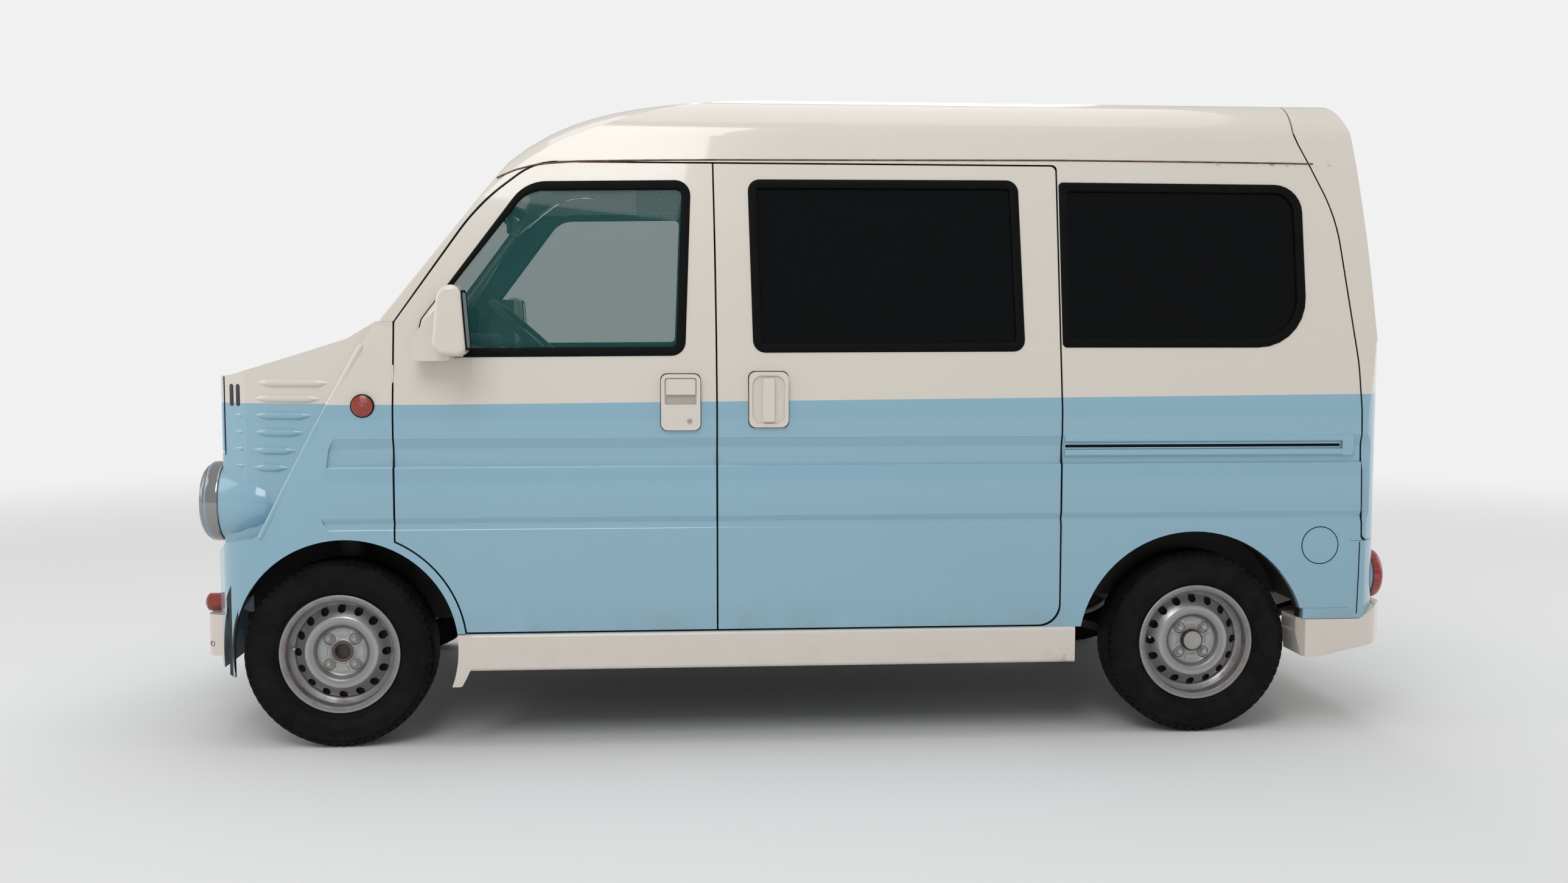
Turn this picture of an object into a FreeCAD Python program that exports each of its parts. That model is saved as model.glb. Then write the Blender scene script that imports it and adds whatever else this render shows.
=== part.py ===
"""A small high-roofed van with a short retro nose, in millimetres.

X points forward, Y to the left and Z up. The origin is on the ground below the
middle of the van. Every left piece is mirrored in the plane Y = 0.
"""
import FreeCAD
import Part
import math
import os
from FreeCAD import Vector

# Overall driving dimensions
length = 3395.0
height = 1866.0
half_width = 737.0
wheelbase = 2420.0
front_overhang = 400.0
roof_depth = 236.0
crown_radius = 1700.0
crown_slope = math.radians(8.3)

# Wheels and tyres
tyre_radius = 260.0
tyre_width = 145.0
bead_radius = 152.0
rim_flange_radius = 166.0
rim_width = 112.0
front_track = 1280.0
rear_track = 1290.0
bolt_circle = 100.0
bolt_count = 4
bolt_radius = 6.0
vent_count = 16
vent_radius = 11.5
vent_circle = 121.0
hub_bore_radius = 30.0
tow_eye_radius = 14.0

# Panel thicknesses and clearances
side_wall = 52.0
roof_wall = 32.0
rear_wall = 48.0
lid_wall = 16.0
panel_gap = 5.0
field_depth = 9.0
glass_thickness = 5.0
glass_inset = 7.0
touch = 0.3

# Heights and lengths of the body, measured in side view
floor_bottom = 320.0
belt_height = 1040.0
roof_seam = height - roof_depth
screen_top = roof_seam - 72
sky = height + 150
belt_half_width = 727.0
seam_half_width = 622.0
shoulder_half_width = 585.0
shoulder_radius = 150.0
roof_apex = height + crown_radius * (1 / math.cos(crown_slope) - 1)
shoulder_height = roof_apex - shoulder_half_width * math.tan(crown_slope)
door_front = 1132.0
centre_post = 254.0
slide_rear = -714.0
tail_seam = -1586.0
rear_face = -1690.0
nose_front = 1673.0
cowl_height = 1178.0
load_floor = 640.0
load_board = 4.0
load_board_half = 505.0
bay_floor = 450.0
arch_front_x = 1272.0
arch_front_z = 278.0
arch_front_radius = 306.0
arch_flap = 21.0
arch_rear_x = -1100.0
arch_rear_z = 255.0
arch_rear_radius = 331.0
skirt_top = 318.0
skirt_bottom = 217.0
sill_outer = 716.0
rail_bottom = 802.0
rail_top = 861.0
rail_end = -1545.0
fuel_lid_x = -1467.0
fuel_lid_z = 543.0
fuel_lid_radius = 52.0
steer_inset = 65.0
strut_y = 500.0
knuckle_low = 186.0
knuckle_high = 370.0
tailgate_hinge_x = -1416.0

screen_lean = -0.798
screen_foot = 1100.0
screen_foot_x = 1284.0
screen_crown = 52.0
tail_lean = 0.13

front_axle = length / 2 - front_overhang
rear_axle = front_axle - wheelbase


def corner_edges(points):
    """Edges of a closed outline of (u, v) or (u, v, corner radius)."""
    count = len(points)
    stops = []
    for index in range(count):
        before = Vector(*points[index - 1][:2], 0)
        here = Vector(*points[index][:2], 0)
        after = Vector(*points[(index + 1) % count][:2], 0)
        radius = points[index][2] if len(points[index]) > 2 else 0
        if radius <= 0:
            stops.append((here, here, None))
            continue
        back = (before - here).normalize()
        ahead = (after - here).normalize()
        half = math.acos(max(-1.0, min(1.0, back.dot(ahead)))) / 2
        reach = radius / math.tan(half)
        middle = here + (back + ahead).normalize() * (radius / math.sin(half) - radius)
        stops.append((here + back * reach, here + ahead * reach, middle))
    edges = []
    for index in range(count):
        start, end, middle = stops[index]
        if middle is not None:
            edges.append(Part.Arc(start, middle, end).toShape())
        following = stops[(index + 1) % count][0]
        if (following - end).Length > 1e-6:
            edges.append(Part.LineSegment(end, following).toShape())
    return edges


PLANES = {
    "XY": (FreeCAD.Matrix(1, 0, 0, 0, 0, 1, 0, 0, 0, 0, 1, 0, 0, 0, 0, 1), Vector(0, 0, 1)),
    "XZ": (FreeCAD.Matrix(1, 0, 0, 0, 0, 0, -1, 0, 0, 1, 0, 0, 0, 0, 0, 1), Vector(0, 1, 0)),
    "YZ": (FreeCAD.Matrix(0, 0, 1, 0, 1, 0, 0, 0, 0, 1, 0, 0, 0, 0, 0, 1), Vector(1, 0, 0)),
}


def sheet(points, plane, level):
    """Flat face of a rounded outline, at a level along the plane's normal."""
    matrix, normal = PLANES[plane]
    wire = Part.Wire(Part.__sortEdges__(corner_edges(points)))
    face = Part.Face(wire.transformed(matrix))
    face.translate(normal * level)
    return face


def prism(points, plane, low, high):
    """Rounded outline drawn in a plane and extruded from low to high."""
    return sheet(points, plane, low).extrude(PLANES[plane][1] * (high - low))


def block(x0, x1, y0, y1, z0, z1):
    """Box between two corners."""
    return Part.makeBox(x1 - x0, y1 - y0, z1 - z0, Vector(x0, y0, z0))


def rod(start, end, radius):
    """Round bar between two points."""
    start = Vector(*start)
    end = Vector(*end)
    return Part.makeCylinder(radius, (end - start).Length, start, end - start)


def ball(centre, radius):
    return Part.makeSphere(radius, Vector(*centre))


def drum(x, z, radius, y0, y1):
    """Cylinder across the van."""
    return Part.makeCylinder(radius, y1 - y0, Vector(x, y0, z), Vector(0, 1, 0))


def turned(profile, centre, axis):
    """Profile of (radius, along, corner radius) turned about an axis."""
    wire = Part.Wire(Part.__sortEdges__(corner_edges(profile)))
    face = Part.Face(wire)
    solid = face.revolve(Vector(0, 0, 0), Vector(0, 1, 0), 360)
    turn = FreeCAD.Rotation(Vector(0, 1, 0), Vector(*axis))
    solid.Placement = FreeCAD.Placement(Vector(*centre), turn)
    return solid


def mirrored(shape):
    """The same piece on the right side."""
    return shape.mirror(Vector(0, 0, 0), Vector(0, 1, 0))


def joined(*shapes):
    """One solid from pieces that overlap or touch."""
    result = shapes[0].multiFuse(list(shapes[1:])) if len(shapes) > 1 else shapes[0]
    return result.removeSplitter()


def both(shape):
    """Left piece and its mirror image as two loose solids."""
    return Part.makeCompound([shape, mirrored(shape)])


# Body envelope

def section(inset_side, inset_top):
    """Cross-section of the cabin: upright sides, leaning windows, crowned roof."""
    side = [
        (half_width - inset_side, floor_bottom - 200, 0),
        (half_width - inset_side, belt_height - 110, 220),
        (seam_half_width - inset_side, roof_seam, 40),
        (shoulder_half_width - inset_side, shoulder_height - inset_top, shoulder_radius),
    ]
    crown = [(0.0, roof_apex - inset_top, crown_radius)]
    return [(-y, z, r) for y, z, r in side] + crown + [(y, z, r) for y, z, r in reversed(side)]


def roof_line(inset_top, inset_rear):
    """Side view of the van's roof and tail, as an outline open at the front."""
    tail = rear_face + inset_rear
    top = height + 6 - inset_top
    return [
        (1500, floor_bottom - 250, 0),
        (tail, floor_bottom - 250, 0),
        (tail, 1130, 500),
        (tail + 62, roof_seam - 30, 600),
        (tail + 155, top - 8, 110),
        (1500, top, 0),
    ]


def pillar_x(z):
    """Where the windscreen's corner lies at a height."""
    return screen_foot_x + screen_lean * (z - screen_foot)


def roof_drop(x):
    """How far the crown has come down at a place along the roof."""
    back = (x - pillar_x(screen_top) + 898) / 1000
    if back < 0:
        return 60 * back
    rounded = 118 * back ** 2 + 300 * back ** 5
    return rounded if back < 0.884 else 254 + 1250 * (back - 0.884)


def roof_station(x, inset):
    """Cross-section that clips the roof where it comes down at the front."""
    drop = roof_drop(x)
    wide = shoulder_half_width + 14 + 0.2 * max(drop, 0) - inset
    foot = half_width + 60
    top = shoulder_height - drop - inset
    side = [
        (foot, top - 500, 0),
        (wide, top, shoulder_radius),
    ]
    outline = [(-y, z, r) for y, z, r in side] + [(0, roof_apex - drop - inset, crown_radius)]
    outline += [(y, z, r) for y, z, r in reversed(side)]
    outline += [(foot, 40, 0), (-foot, 40, 0)]
    wire = Part.Wire(Part.__sortEdges__(corner_edges(outline)))
    wire = wire.transformed(PLANES["YZ"][0])
    wire.translate(Vector(x - 0.55 * inset, 0, 0))
    return wire


def roof_front(inset):
    """Block under the roof as it rounds down to the windscreen."""
    top_x = pillar_x(screen_top)
    places = [top_x + 440, top_x + 180] + [top_x + 40 - 60 * step for step in range(18)] + [-1900]
    return Part.makeLoft([roof_station(x, inset) for x in places], True, True)


def leaning(points, low, turn_level, high, lean):
    """Plan outline that stands upright to a level and leans along X above it."""
    lower = prism(points, "XY", low, turn_level)
    upper = sheet(points, "XY", turn_level)
    upper = upper.extrude(Vector(lean * (high - turn_level), 0, high - turn_level))
    return lower.fuse(upper)


def tail_plan(inset_side, inset_rear):
    """Plan view with the crowned tail and its round corners."""
    wide = half_width + 30 - inset_side
    tail = rear_face + inset_rear
    corner = (tail + 38, wide)
    return [
        (1500, -wide, 0),
        (corner[0], -wide, 150),
        (tail - 4, 0, 4000),
        (corner[0], wide, 150),
        (1500, wide, 0),
    ]


def screen_plan(inset_side, inset_front):
    """Plan view with the bowed windscreen."""
    wide = half_width + 30 - inset_side
    front = screen_foot_x - inset_front
    return [
        (-1900, -wide, 0),
        (-1900, wide, 0),
        (front - screen_crown, wide, 95),
        (front + 14, 0, 2600),
        (front - screen_crown, -wide, 95),
    ]


def envelope(inset_side, inset_top, inset_rear, inset_front):
    """Closed cabin body, shrunk by an inset at each side. A cutter that reaches past the roof isn't rounded."""
    shape = prism(section(inset_side, inset_top), "YZ", -1800, 1500)
    shape = shape.common(prism(roof_line(inset_top, inset_rear), "XZ", -800, 800))
    shape = shape.common(leaning(tail_plan(inset_side, inset_rear), 60, 1130, sky, tail_lean))
    shape = shape.common(leaning(screen_plan(inset_side, inset_front), 60, screen_foot, sky, screen_lean))
    return shape if inset_top < 0 else shape.common(roof_front(inset_top))


# Panel outlines in side view

WINDOWS = {
    # name: (x, z, corner radius) of the glass opening
    "front": [
        (345, belt_height + 48, 35),
        (1078, belt_height + 43, 30),
        (1058, belt_height + 144, 25),
        (pillar_x(roof_seam - 70) - 139, roof_seam - 70, 110),
        (327, roof_seam - 63, 38),
    ],
    "slide": [
        (-608, belt_height + 59, 28),
        (148, belt_height + 56, 30),
        (160, roof_seam - 60, 28),
        (-598, roof_seam - 57, 30),
    ],
    "quarter": [
        (-724, belt_height + 70, 8),
        (-1424, belt_height + 70, 140),
        (-1424, roof_seam - 64, 75),
        (-724, roof_seam - 62, 8),
    ],
}


def door_outline(gap):
    """Front door in side view, its edges moved out by a gap."""
    top = roof_seam - 12 + gap
    return [
        (centre_post - 60, skirt_top + 7 - gap, 0),
        (door_front + gap, skirt_top + 7 - gap, 0),
        (door_front + gap, cowl_height - 2, 12),
        (pillar_x(roof_seam - 130) - 60 + gap, roof_seam - 130 + gap, 600),
        (pillar_x(roof_seam - 12) - 121 + gap, top, 180),
        (centre_post - 60, top, 0),
    ]


def slide_outline(gap):
    """Sliding door in side view, its edges moved out by a gap."""
    top = roof_seam - 12 + gap
    return [
        (slide_rear + 2.5 - gap, skirt_top + 7 - gap, 60),
        (centre_post + 60, skirt_top + 7 - gap, 0),
        (centre_post + 60, top, 0),
        (slide_rear + 2.5 - gap, top, 15),
    ]


def tail_outline(gap):
    """Tailgate in side view, its edges moved out by a gap."""
    return [
        (-1760, 560 - gap, 0),
        (tail_seam - 5 + gap, 560 - gap, 14),
        (tail_seam + 6 + gap, 1060, 600),
        (tail_seam + 56 + gap, roof_seam - 150, 500),
        (-1428 + gap, roof_seam + 60, 120),
        (tailgate_hinge_x + gap, roof_seam + 92, 60),
        (tailgate_hinge_x + gap, sky, 0),
        (-1760, sky, 0),
    ]


hinge_x = door_front + panel_gap / 2
hinge_y = half_width
pin_radius = (panel_gap - touch) / 2
door_reach = hinge_x - centre_post - panel_gap / 2


def door_sweep(extra):
    """Upright drum round the door hinge that trims the door's rear edge."""
    return Part.makeCylinder(door_reach + extra, sky - 250, Vector(hinge_x, hinge_y, 250))


def side_half(shape):
    return shape.common(block(-1900, 1600, 0, 900, 0, sky))


def channel():
    """Shallow pressed band along the body side."""
    band = [
        (half_width + 20, 861, 0),
        (half_width, 861, 6),
        (half_width - 10, 832, 12),
        (half_width - 10, 640, 12),
        (half_width, 606, 6),
        (half_width + 20, 606, 0),
    ]
    ending = [(-1820, 590, 0), (1345, 590, 70), (1300, 877, 60), (-1820, 877, 0)]
    return prism(band, "YZ", -1800, 1360).common(prism(ending, "XZ", 600, 900))


OUTER = envelope(0, 0, 0, 0).cut(channel()).cut(mirrored(channel()))
INNER = envelope(side_wall, roof_wall, rear_wall, 34)
SHELL = OUTER.cut(INNER)


def roof_region(drop):
    """Side view of everything above the roof seam."""
    return [
        (tailgate_hinge_x + panel_gap, roof_seam - drop, 0),
        (pillar_x(screen_top) - 198, roof_seam - drop, 320),
        (pillar_x(screen_top) - 25, screen_top + touch - drop, 30),
        (1300, screen_top + touch - drop, 0),
        (1300, sky, 0),
        (tailgate_hinge_x + panel_gap, sky, 0),
    ]


def make_roof():
    """Crowned roof skin with the tailgate's hinge pins in its rear gap."""
    skin = SHELL.common(prism(roof_region(0), "XZ", -800, 800))
    pins = []
    for y in (-300, 300):
        pin = cross_pin(tailgate_hinge_x + panel_gap / 2, height - 50, 1)
        pin.translate(Vector(0, y, 0))
        pins.append(pin)
    return joined(skin, *pins)


def window_cut(name, low=0, high=900):
    return prism(WINDOWS[name], "XZ", low, high)


def pane(name):
    """Flat leaning pane set in a window opening of the left side."""
    outer = side_half(envelope(glass_inset, 0, 0, 0)).common(window_cut(name, 400, 900))
    return outer.cut(envelope(glass_inset + glass_thickness, -20, -20, -20))


def make_front_door():
    outer = side_half(SHELL).common(prism(door_outline(0), "XZ", 0, 900))
    door = outer.common(door_sweep(0))
    door = door.cut(window_cut("front"))
    return door.cut(drum(arch_front_x, arch_front_z, arch_front_radius + arch_flap + panel_gap, 0, 900))


def make_sliding_door():
    door = side_half(SHELL).common(prism(slide_outline(0), "XZ", 0, 900))
    door = door.cut(door_sweep(panel_gap))
    door = door.cut(window_cut("slide"))
    rear = slide_rear + 2.5
    rollers = [block(rear - panel_gap + touch, rear + 14, 700, 716, z - 16, z + 16) for z in (480, 890)]
    top = roof_seam - 12
    runner = block(-120, -60, 590, 606, top - 20, top + panel_gap - touch)
    return joined(door, *rollers, runner)


def make_tailgate():
    """Tail door with its window, a sunk field below it and a grip above the field."""
    gate = SHELL.common(prism(tail_outline(0), "XZ", -800, 800)).cut(tail_glass_cut())
    field = prism([(-250, 640, 24), (250, 640, 24), (262, 850, 24), (-262, 850, 24)], "YZ", -1760, -1600)
    gate = gate.cut(field.cut(envelope(-20, -20, field_depth, -20)))
    grip = prism([(-170, 862, 12), (170, 862, 12), (170, 902, 12), (-170, 902, 12)], "YZ", -1760, -1600)
    return joined(gate, grip.common(envelope(0, -20, -14, -20).cut(envelope(-20, -20, 10, -20))))


def tail_glass_cut():
    low, high = belt_height + 90, roof_seam - 40
    return prism([(-560, low, 60), (560, low, 60), (520, high, 60), (-520, high, 60)], "YZ", -1760, -1450)


def make_tail_glass():
    outer = envelope(0, 0, glass_inset, 0).common(tail_glass_cut())
    return outer.cut(envelope(-20, -20, glass_inset + glass_thickness, -20))


def screen_cut():
    """Windscreen opening seen from the front."""
    low = cowl_height + 18
    return prism([(-615, low, 70), (615, low, 70), (545, screen_top, 60), (-545, screen_top, 60)], "YZ", 500, 1400)


def make_windscreen():
    outer = envelope(0, 0, 0, 4).common(screen_cut())
    return outer.cut(envelope(-20, -20, -20, 10))


def make_body_side():
    """Left side with pillars, sill, rail and quarter panel."""
    side = side_half(SHELL)
    side = side.cut(prism(roof_region(0), "XZ", -10, 900))
    side = side.cut(prism(tail_outline(panel_gap), "XZ", -10, 900))
    opening = prism(door_outline(panel_gap), "XZ", 0, 900).common(door_sweep(panel_gap))
    opening = opening.fuse(prism(slide_outline(panel_gap), "XZ", 0, 900))
    side = side.cut(opening)
    side = side.cut(screen_cut())
    side = side.cut(window_cut("quarter"))
    side = side.cut(prism(hood_line(-touch), "XZ", -10, 900))
    side = side.cut(block(door_front + 4, 1500, 0, 900, 0, 1000))
    side = side.cut(block(-1900, 1500, 0, 560, 0, sky).cut(block(700, 1500, 0, 560, 1000, sky)))
    side = side.cut(drum(arch_rear_x, arch_rear_z, arch_rear_radius, 0, 900))
    side = side.cut(drum(arch_front_x, arch_front_z, arch_front_radius + arch_flap, 0, 900))
    side = side.cut(block(-1900, -900, 0, 900, 0, 362))
    side = side.cut(block(-1900, -1556, 0, 900, 0, 556))
    side = side.cut(block(-1900, 1600, 0, 900, 0, skirt_top))
    side = side.cut(block(lid_hinge_x - 26, 1300, 0, 900, 0, lid_hinge_z + 21))
    side = max(side.Solids, key=lambda solid: solid.Volume)
    core = envelope(side_wall + 44, -20, rear_wall - 12, 28)
    frame = side_half(envelope(side_wall + 6, roof_wall, rear_wall, 40)).cut(core)
    posts = block(centre_post - 40, centre_post + 40, 400, 900, skirt_top, roof_seam)
    rail = block(-760, 640, 500, 900, roof_seam - 62, roof_seam)
    sill = block(-760, 940, 600, 900, skirt_top, skirt_top + 60)
    frame = frame.common(joined(posts, rail, sill))
    web = side_half(envelope(side_wall - 4, roof_wall, rear_wall, 40)).cut(core)
    ties = joined(block(-760, 640, 500, 900, roof_seam - 6, roof_seam), block(-760, -722, 400, 900, 380, roof_seam))
    ties = web.common(ties)
    step = block(-757, 962, 600, sill_outer, 300, skirt_top + 2)
    return joined(side, frame, ties, step, *make_slide_rail())


def make_slide_rail():
    """Two bars along the quarter panel that the sliding door runs on, with a stop at their rear end."""
    face = half_width + 2
    bars = []
    for low, high in ((rail_bottom, rail_bottom + 19), (rail_top - 20, rail_top)):
        bar = [(face - 16, low, 0), (face, low, 6), (face, high, 6), (face - 16, high, 0)]
        bars.append(prism(bar, "YZ", rail_end, slide_rear - 8))
    stop = [(rail_end - 12, rail_bottom, 12), (rail_end + 20, rail_bottom, 0), (rail_end + 20, rail_top, 0),
            (rail_end - 12, rail_top, 12)]
    return bars + [prism(stop, "XZ", face - 16, face)]


# Nose

NOSE_RIDGE = [(1228, 1108), (1503, 589)]
RIBS = [
    # front x, rear x, z
    (1530, 1306, 1009),
    (1537, 1329, 966),
    (1538, 1355, 919),
    (1539, 1377, 872),
    (1545, 1401, 822),
    (1546, 1424, 774),
]
rib_radius = 11.5
rib_taper = 42.0
rib_sink = 3.0
ridge_radius = 8.0
grille_count = 6
grille_pitch = 28.0
grille_slot = 15.0
grille_half_width = 310.0
tail_lamp_z = 440.0
lamp_y = 500.0
lamp_z = 668.0
lamp_radius = 108.0
lid_half_width = 576.0
lid_bottom = 816.0
lid_hinge_x = 1262.0
lid_hinge_z = 1131.0


def hood_line(drop):
    """Side view of the nose above the lamps, shrunk by a drop."""
    return [
        (1120, 540, 0),
        (nose_front + 10 - drop, 540, 0),
        (nose_front + 4 - drop, 1022 - drop, 16),
        (1600, 1030 - drop, 120),
        (1440, 1077 - drop, 600),
        (lid_hinge_x, lid_hinge_z - drop, 60),
        (1182, cowl_height - drop, 0),
        (1120, cowl_height - drop, 0),
    ]


def snout_plan(inset):
    """Plan view of the narrow nose between the wings."""
    return [
        (1120, -700 + inset, 0),
        (1228, -696 + inset, 40),
        (1556, -619 + inset, 14),
        (1636 - inset, -572 + inset, 26),
        (nose_front + 7 - inset, 0, 2400),
        (1636 - inset, 572 - inset, 26),
        (1556, 619 - inset, 14),
        (1228, 696 - inset, 40),
        (1120, 700 - inset, 0),
    ]


def wing_plan():
    """Plan view over both front wings."""
    wide = half_width
    return [
        (1120, -wide, 0),
        (1380, -wide, 500),
        (1590, -712, 90),
        (1642, -600, 60),
        (1654, 0, 4000),
        (1642, 600, 60),
        (1590, 712, 90),
        (1380, wide, 500),
        (1120, wide, 0),
    ]


def wing_side():
    """Side view of the wing: behind and below the slanted ridge."""
    top, foot = NOSE_RIDGE
    return [
        (door_front + panel_gap, 174, 0),
        (door_front + panel_gap, cowl_height, 0),
        (1182, cowl_height, 10),
        (top[0], top[1], 20),
        (foot[0], foot[1], 40),
        (1600, 574, 60),
        (1660, 520, 0),
        (1660, 230, 0),
        (1500, 174, 0),
    ]


def lid_region(gap):
    """Upper front of the nose that lifts, seen in plan and side view."""
    wide = lid_half_width + gap
    plan = block(lid_hinge_x - gap, 1760, -wide, wide, lid_bottom - gap, 1300)
    return plan


def make_nose_body():
    upper = prism(snout_plan(0), "XY", 540, 1300).common(prism(hood_line(0), "XZ", -800, 800))
    lower = prism(wing_plan(), "XY", 174, 1300).common(prism(wing_side(), "XZ", -800, 800))
    lower = lower.common(prism(section(0, 0), "YZ", 1000, 1800))
    lower = lower.cut(channel()).cut(mirrored(channel()))
    pods = [pod(lamp_y), pod(-lamp_y)]
    return joined(upper, lower, *pods)


def pod(y):
    """Bullet-shaped lamp housing."""
    bullet = turned([(0, -150, 0), (52, -150, 40), (lamp_radius + 4, -20, 120), (lamp_radius + 4, 0, 0), (0, 0, 0)],
                    (1672, y, lamp_z), (1, 0, 0))
    return bullet


def capsule(start, end, radius):
    return joined(rod(start, end, radius), ball(start, radius), ball(end, radius))


def side_y(x):
    """Half width of the snout at a place along it."""
    return 696 - (x - 1228) * (696 - 619) / (1556 - 1228)


def louvre(front, rear, z):
    """Long raised rib that tapers to a point at both ends."""
    start = Vector(front, side_y(front) - rib_sink, z)
    end = Vector(rear, side_y(rear) - rib_sink, z)
    half = (end - start).Length / 2
    profile = [
        (0, -half, 0),
        (rib_radius, rib_taper - half, 60),
        (rib_radius, half - rib_taper, 60),
        (0, half, 0),
    ]
    return turned(profile, (start + end) / 2, (end - start).normalize())


def make_ribs():
    """Louvres on the side of the nose and the blind ones on its corner."""
    ribs = [louvre(*row) for row in RIBS]
    for level in range(4):
        z = 919 - 47 * level
        ribs.append(capsule((1568, 607, z), (1594, 588, z), 7))
    return ribs


def make_ridge():
    """Rounded bead along the slanted front edge of the wing."""
    top, foot = NOSE_RIDGE
    stops = [(top[0] - 5, 706, top[1]), (1340, 731, 889), (foot[0] - 6, 720, foot[1] + 2)]
    return [capsule(start, end, ridge_radius) for start, end in zip(stops, stops[1:])]


def grille_slots():
    """Cooling slots across the front between the lamps."""
    slots = []
    for index in range(grille_count):
        z = lamp_z + (index - (grille_count - 1) / 2) * grille_pitch
        half = grille_half_width
        high = grille_slot / 2
        round_end = high - 0.5
        outline = [(-half, z - high, round_end), (half, z - high, round_end), (half, z + high, round_end),
                   (-half, z + high, round_end)]
        slots.append(prism(outline, "YZ", nose_front - 18, nose_front + 30))
    return slots


def vent_slot(x, y):
    """Recess for one mesh vent on the corner of the nose."""
    outline = [(-7.5, 943, 7.4), (7.5, 943, 7.4), (7.5, 1005, 7.4), (-7.5, 1005, 7.4)]
    slot = prism(outline, "XZ", -5, 9)
    slot.rotate(Vector(0, 0, 0), Vector(0, 0, 1), -math.degrees(math.atan2(47, 80)))
    slot.translate(Vector(x, y, 0))
    return slot


def make_nose():
    body = make_nose_body()
    inner = prism(snout_plan(lid_wall), "XY", 400, 1300).common(prism(hood_line(lid_wall), "XZ", -800, 800))
    bay = block(1180, 1600, -385, 385, 300, 1300)
    upper_bay = block(1200, 1640, -lid_half_width + 30, lid_half_width - 30, lid_bottom + 30, 1300)
    body = body.cut(inner.common(joined(bay, upper_bay)))
    body = body.cut(block(1180, 1585, -385, 385, bay_floor, 560))
    body = body.cut(block(1100, 1626, -385, 385, 100, 420))
    body = body.cut(block(1100, 1626, -406, 406, 100, 330))
    body = body.cut(block(900, door_front + panel_gap, -900, 900, 100, 1300))
    body = body.cut(lid_region(panel_gap))
    for sign in (1, -1):
        low, high = sorted((sign * 405, sign * 690))
        body = body.cut(drum(front_axle - 4, tyre_radius, 332, low, high))
        low, high = sorted((sign * 600, sign * 800))
        body = body.cut(drum(arch_front_x, arch_front_z, arch_front_radius, low, high))
    body = body.cut(block(1000, 1576, -690, -405, 100, 300)).cut(block(1000, 1576, 405, 690, 100, 300))
    body = body.cut(block(1000, 1578, 600, 800, 100, 300)).cut(block(1000, 1578, -800, -600, 100, 300))
    for x, y in ((1598.5, 592), (1578.5, 604.5)):
        body = body.cut(vent_slot(x, y)).cut(mirrored(vent_slot(x, y)))
    body = body.cut(Part.makeCompound(grille_slots()))
    ribs = make_ribs() + make_ridge()
    flap = make_flap()
    lid_pin = cross_pin(lid_hinge_x - panel_gap / 2, lid_hinge_z - 9, -1)
    lid_pin.translate(Vector(0, 400, 0))
    pins = [hinge_pin(700), hinge_pin(1030), lid_pin]
    left_pieces = ribs + [flap] + pins
    return joined(body, *left_pieces, *[mirrored(piece) for piece in left_pieces])


def hinge_pin(z):
    """Upright door hinge pin hidden in the gap behind the wing."""
    pin = rod((hinge_x + touch / 2, 720, z - 30), (hinge_x + touch / 2, 720, z + 30), pin_radius)
    return joined(pin, block(hinge_x + touch / 2, hinge_x + panel_gap, 719, 721, z - 30, z + 30))


def cross_pin(x, z, root):
    """Pin across the van in a hinge gap, with a web to its root side."""
    pin = drum(x + root * touch / 2, z, pin_radius, -30, 30)
    low, high = sorted((x, x + root * panel_gap))
    return joined(pin, block(low, high, -30, 30, z - 1, z + 1))


def make_flap():
    """Rear half of the front arch: the strip between tyre opening and door."""
    ring = drum(arch_front_x, arch_front_z, arch_front_radius + arch_flap, half_width - side_wall, 900)
    ring = ring.cut(drum(arch_front_x, arch_front_z, arch_front_radius, 600, 950))
    ring = ring.common(block(900, door_front + panel_gap + 2, 600, 900, skirt_top + 2.3, 700))
    return ring.common(prism(section(0, 0), "YZ", 800, 1200))


def make_lid():
    body = prism(snout_plan(0), "XY", 540, 1300).common(prism(hood_line(0), "XZ", -800, 800))
    inner = prism(snout_plan(lid_wall), "XY", 400, 1300).common(prism(hood_line(lid_wall), "XZ", -800, 800))
    return body.cut(inner).common(lid_region(0))


# Wheels

def rim_profile():
    """Section of the steel wheel's barrel: (radius, along) with the outside at +Y."""
    flange = rim_flange_radius
    seat = bead_radius
    return [
        (flange, 56, 3),
        (flange, 51, 0),
        (seat + 2, 48, 3),
        (seat, 22, 4),
        (seat - 16, 10, 5),
        (seat - 16, -14, 5),
        (seat, -26, 4),
        (seat + 2, -48, 3),
        (flange, -51, 0),
        (flange, -56, 3),
        (seat - 4, -54, 6),
        (seat - 5, -28, 4),
        (seat - 21, -16, 5),
        (seat - 21, 12, 5),
        (seat - 5, 24, 4),
        (seat - 4, 54, 6),
    ]


def disc_profile():
    """Section of the wheel's pressed disc."""
    return [
        (hub_bore_radius, 14, 0),
        (66, 14, 6),
        (78, 32, 8),
        (98, 34, 10),
        (132, 6, 6),
        (132, 1, 0),
        (96, 28, 10),
        (80, 26, 8),
        (70, 8, 6),
        (hub_bore_radius, 8, 0),
    ]


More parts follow.
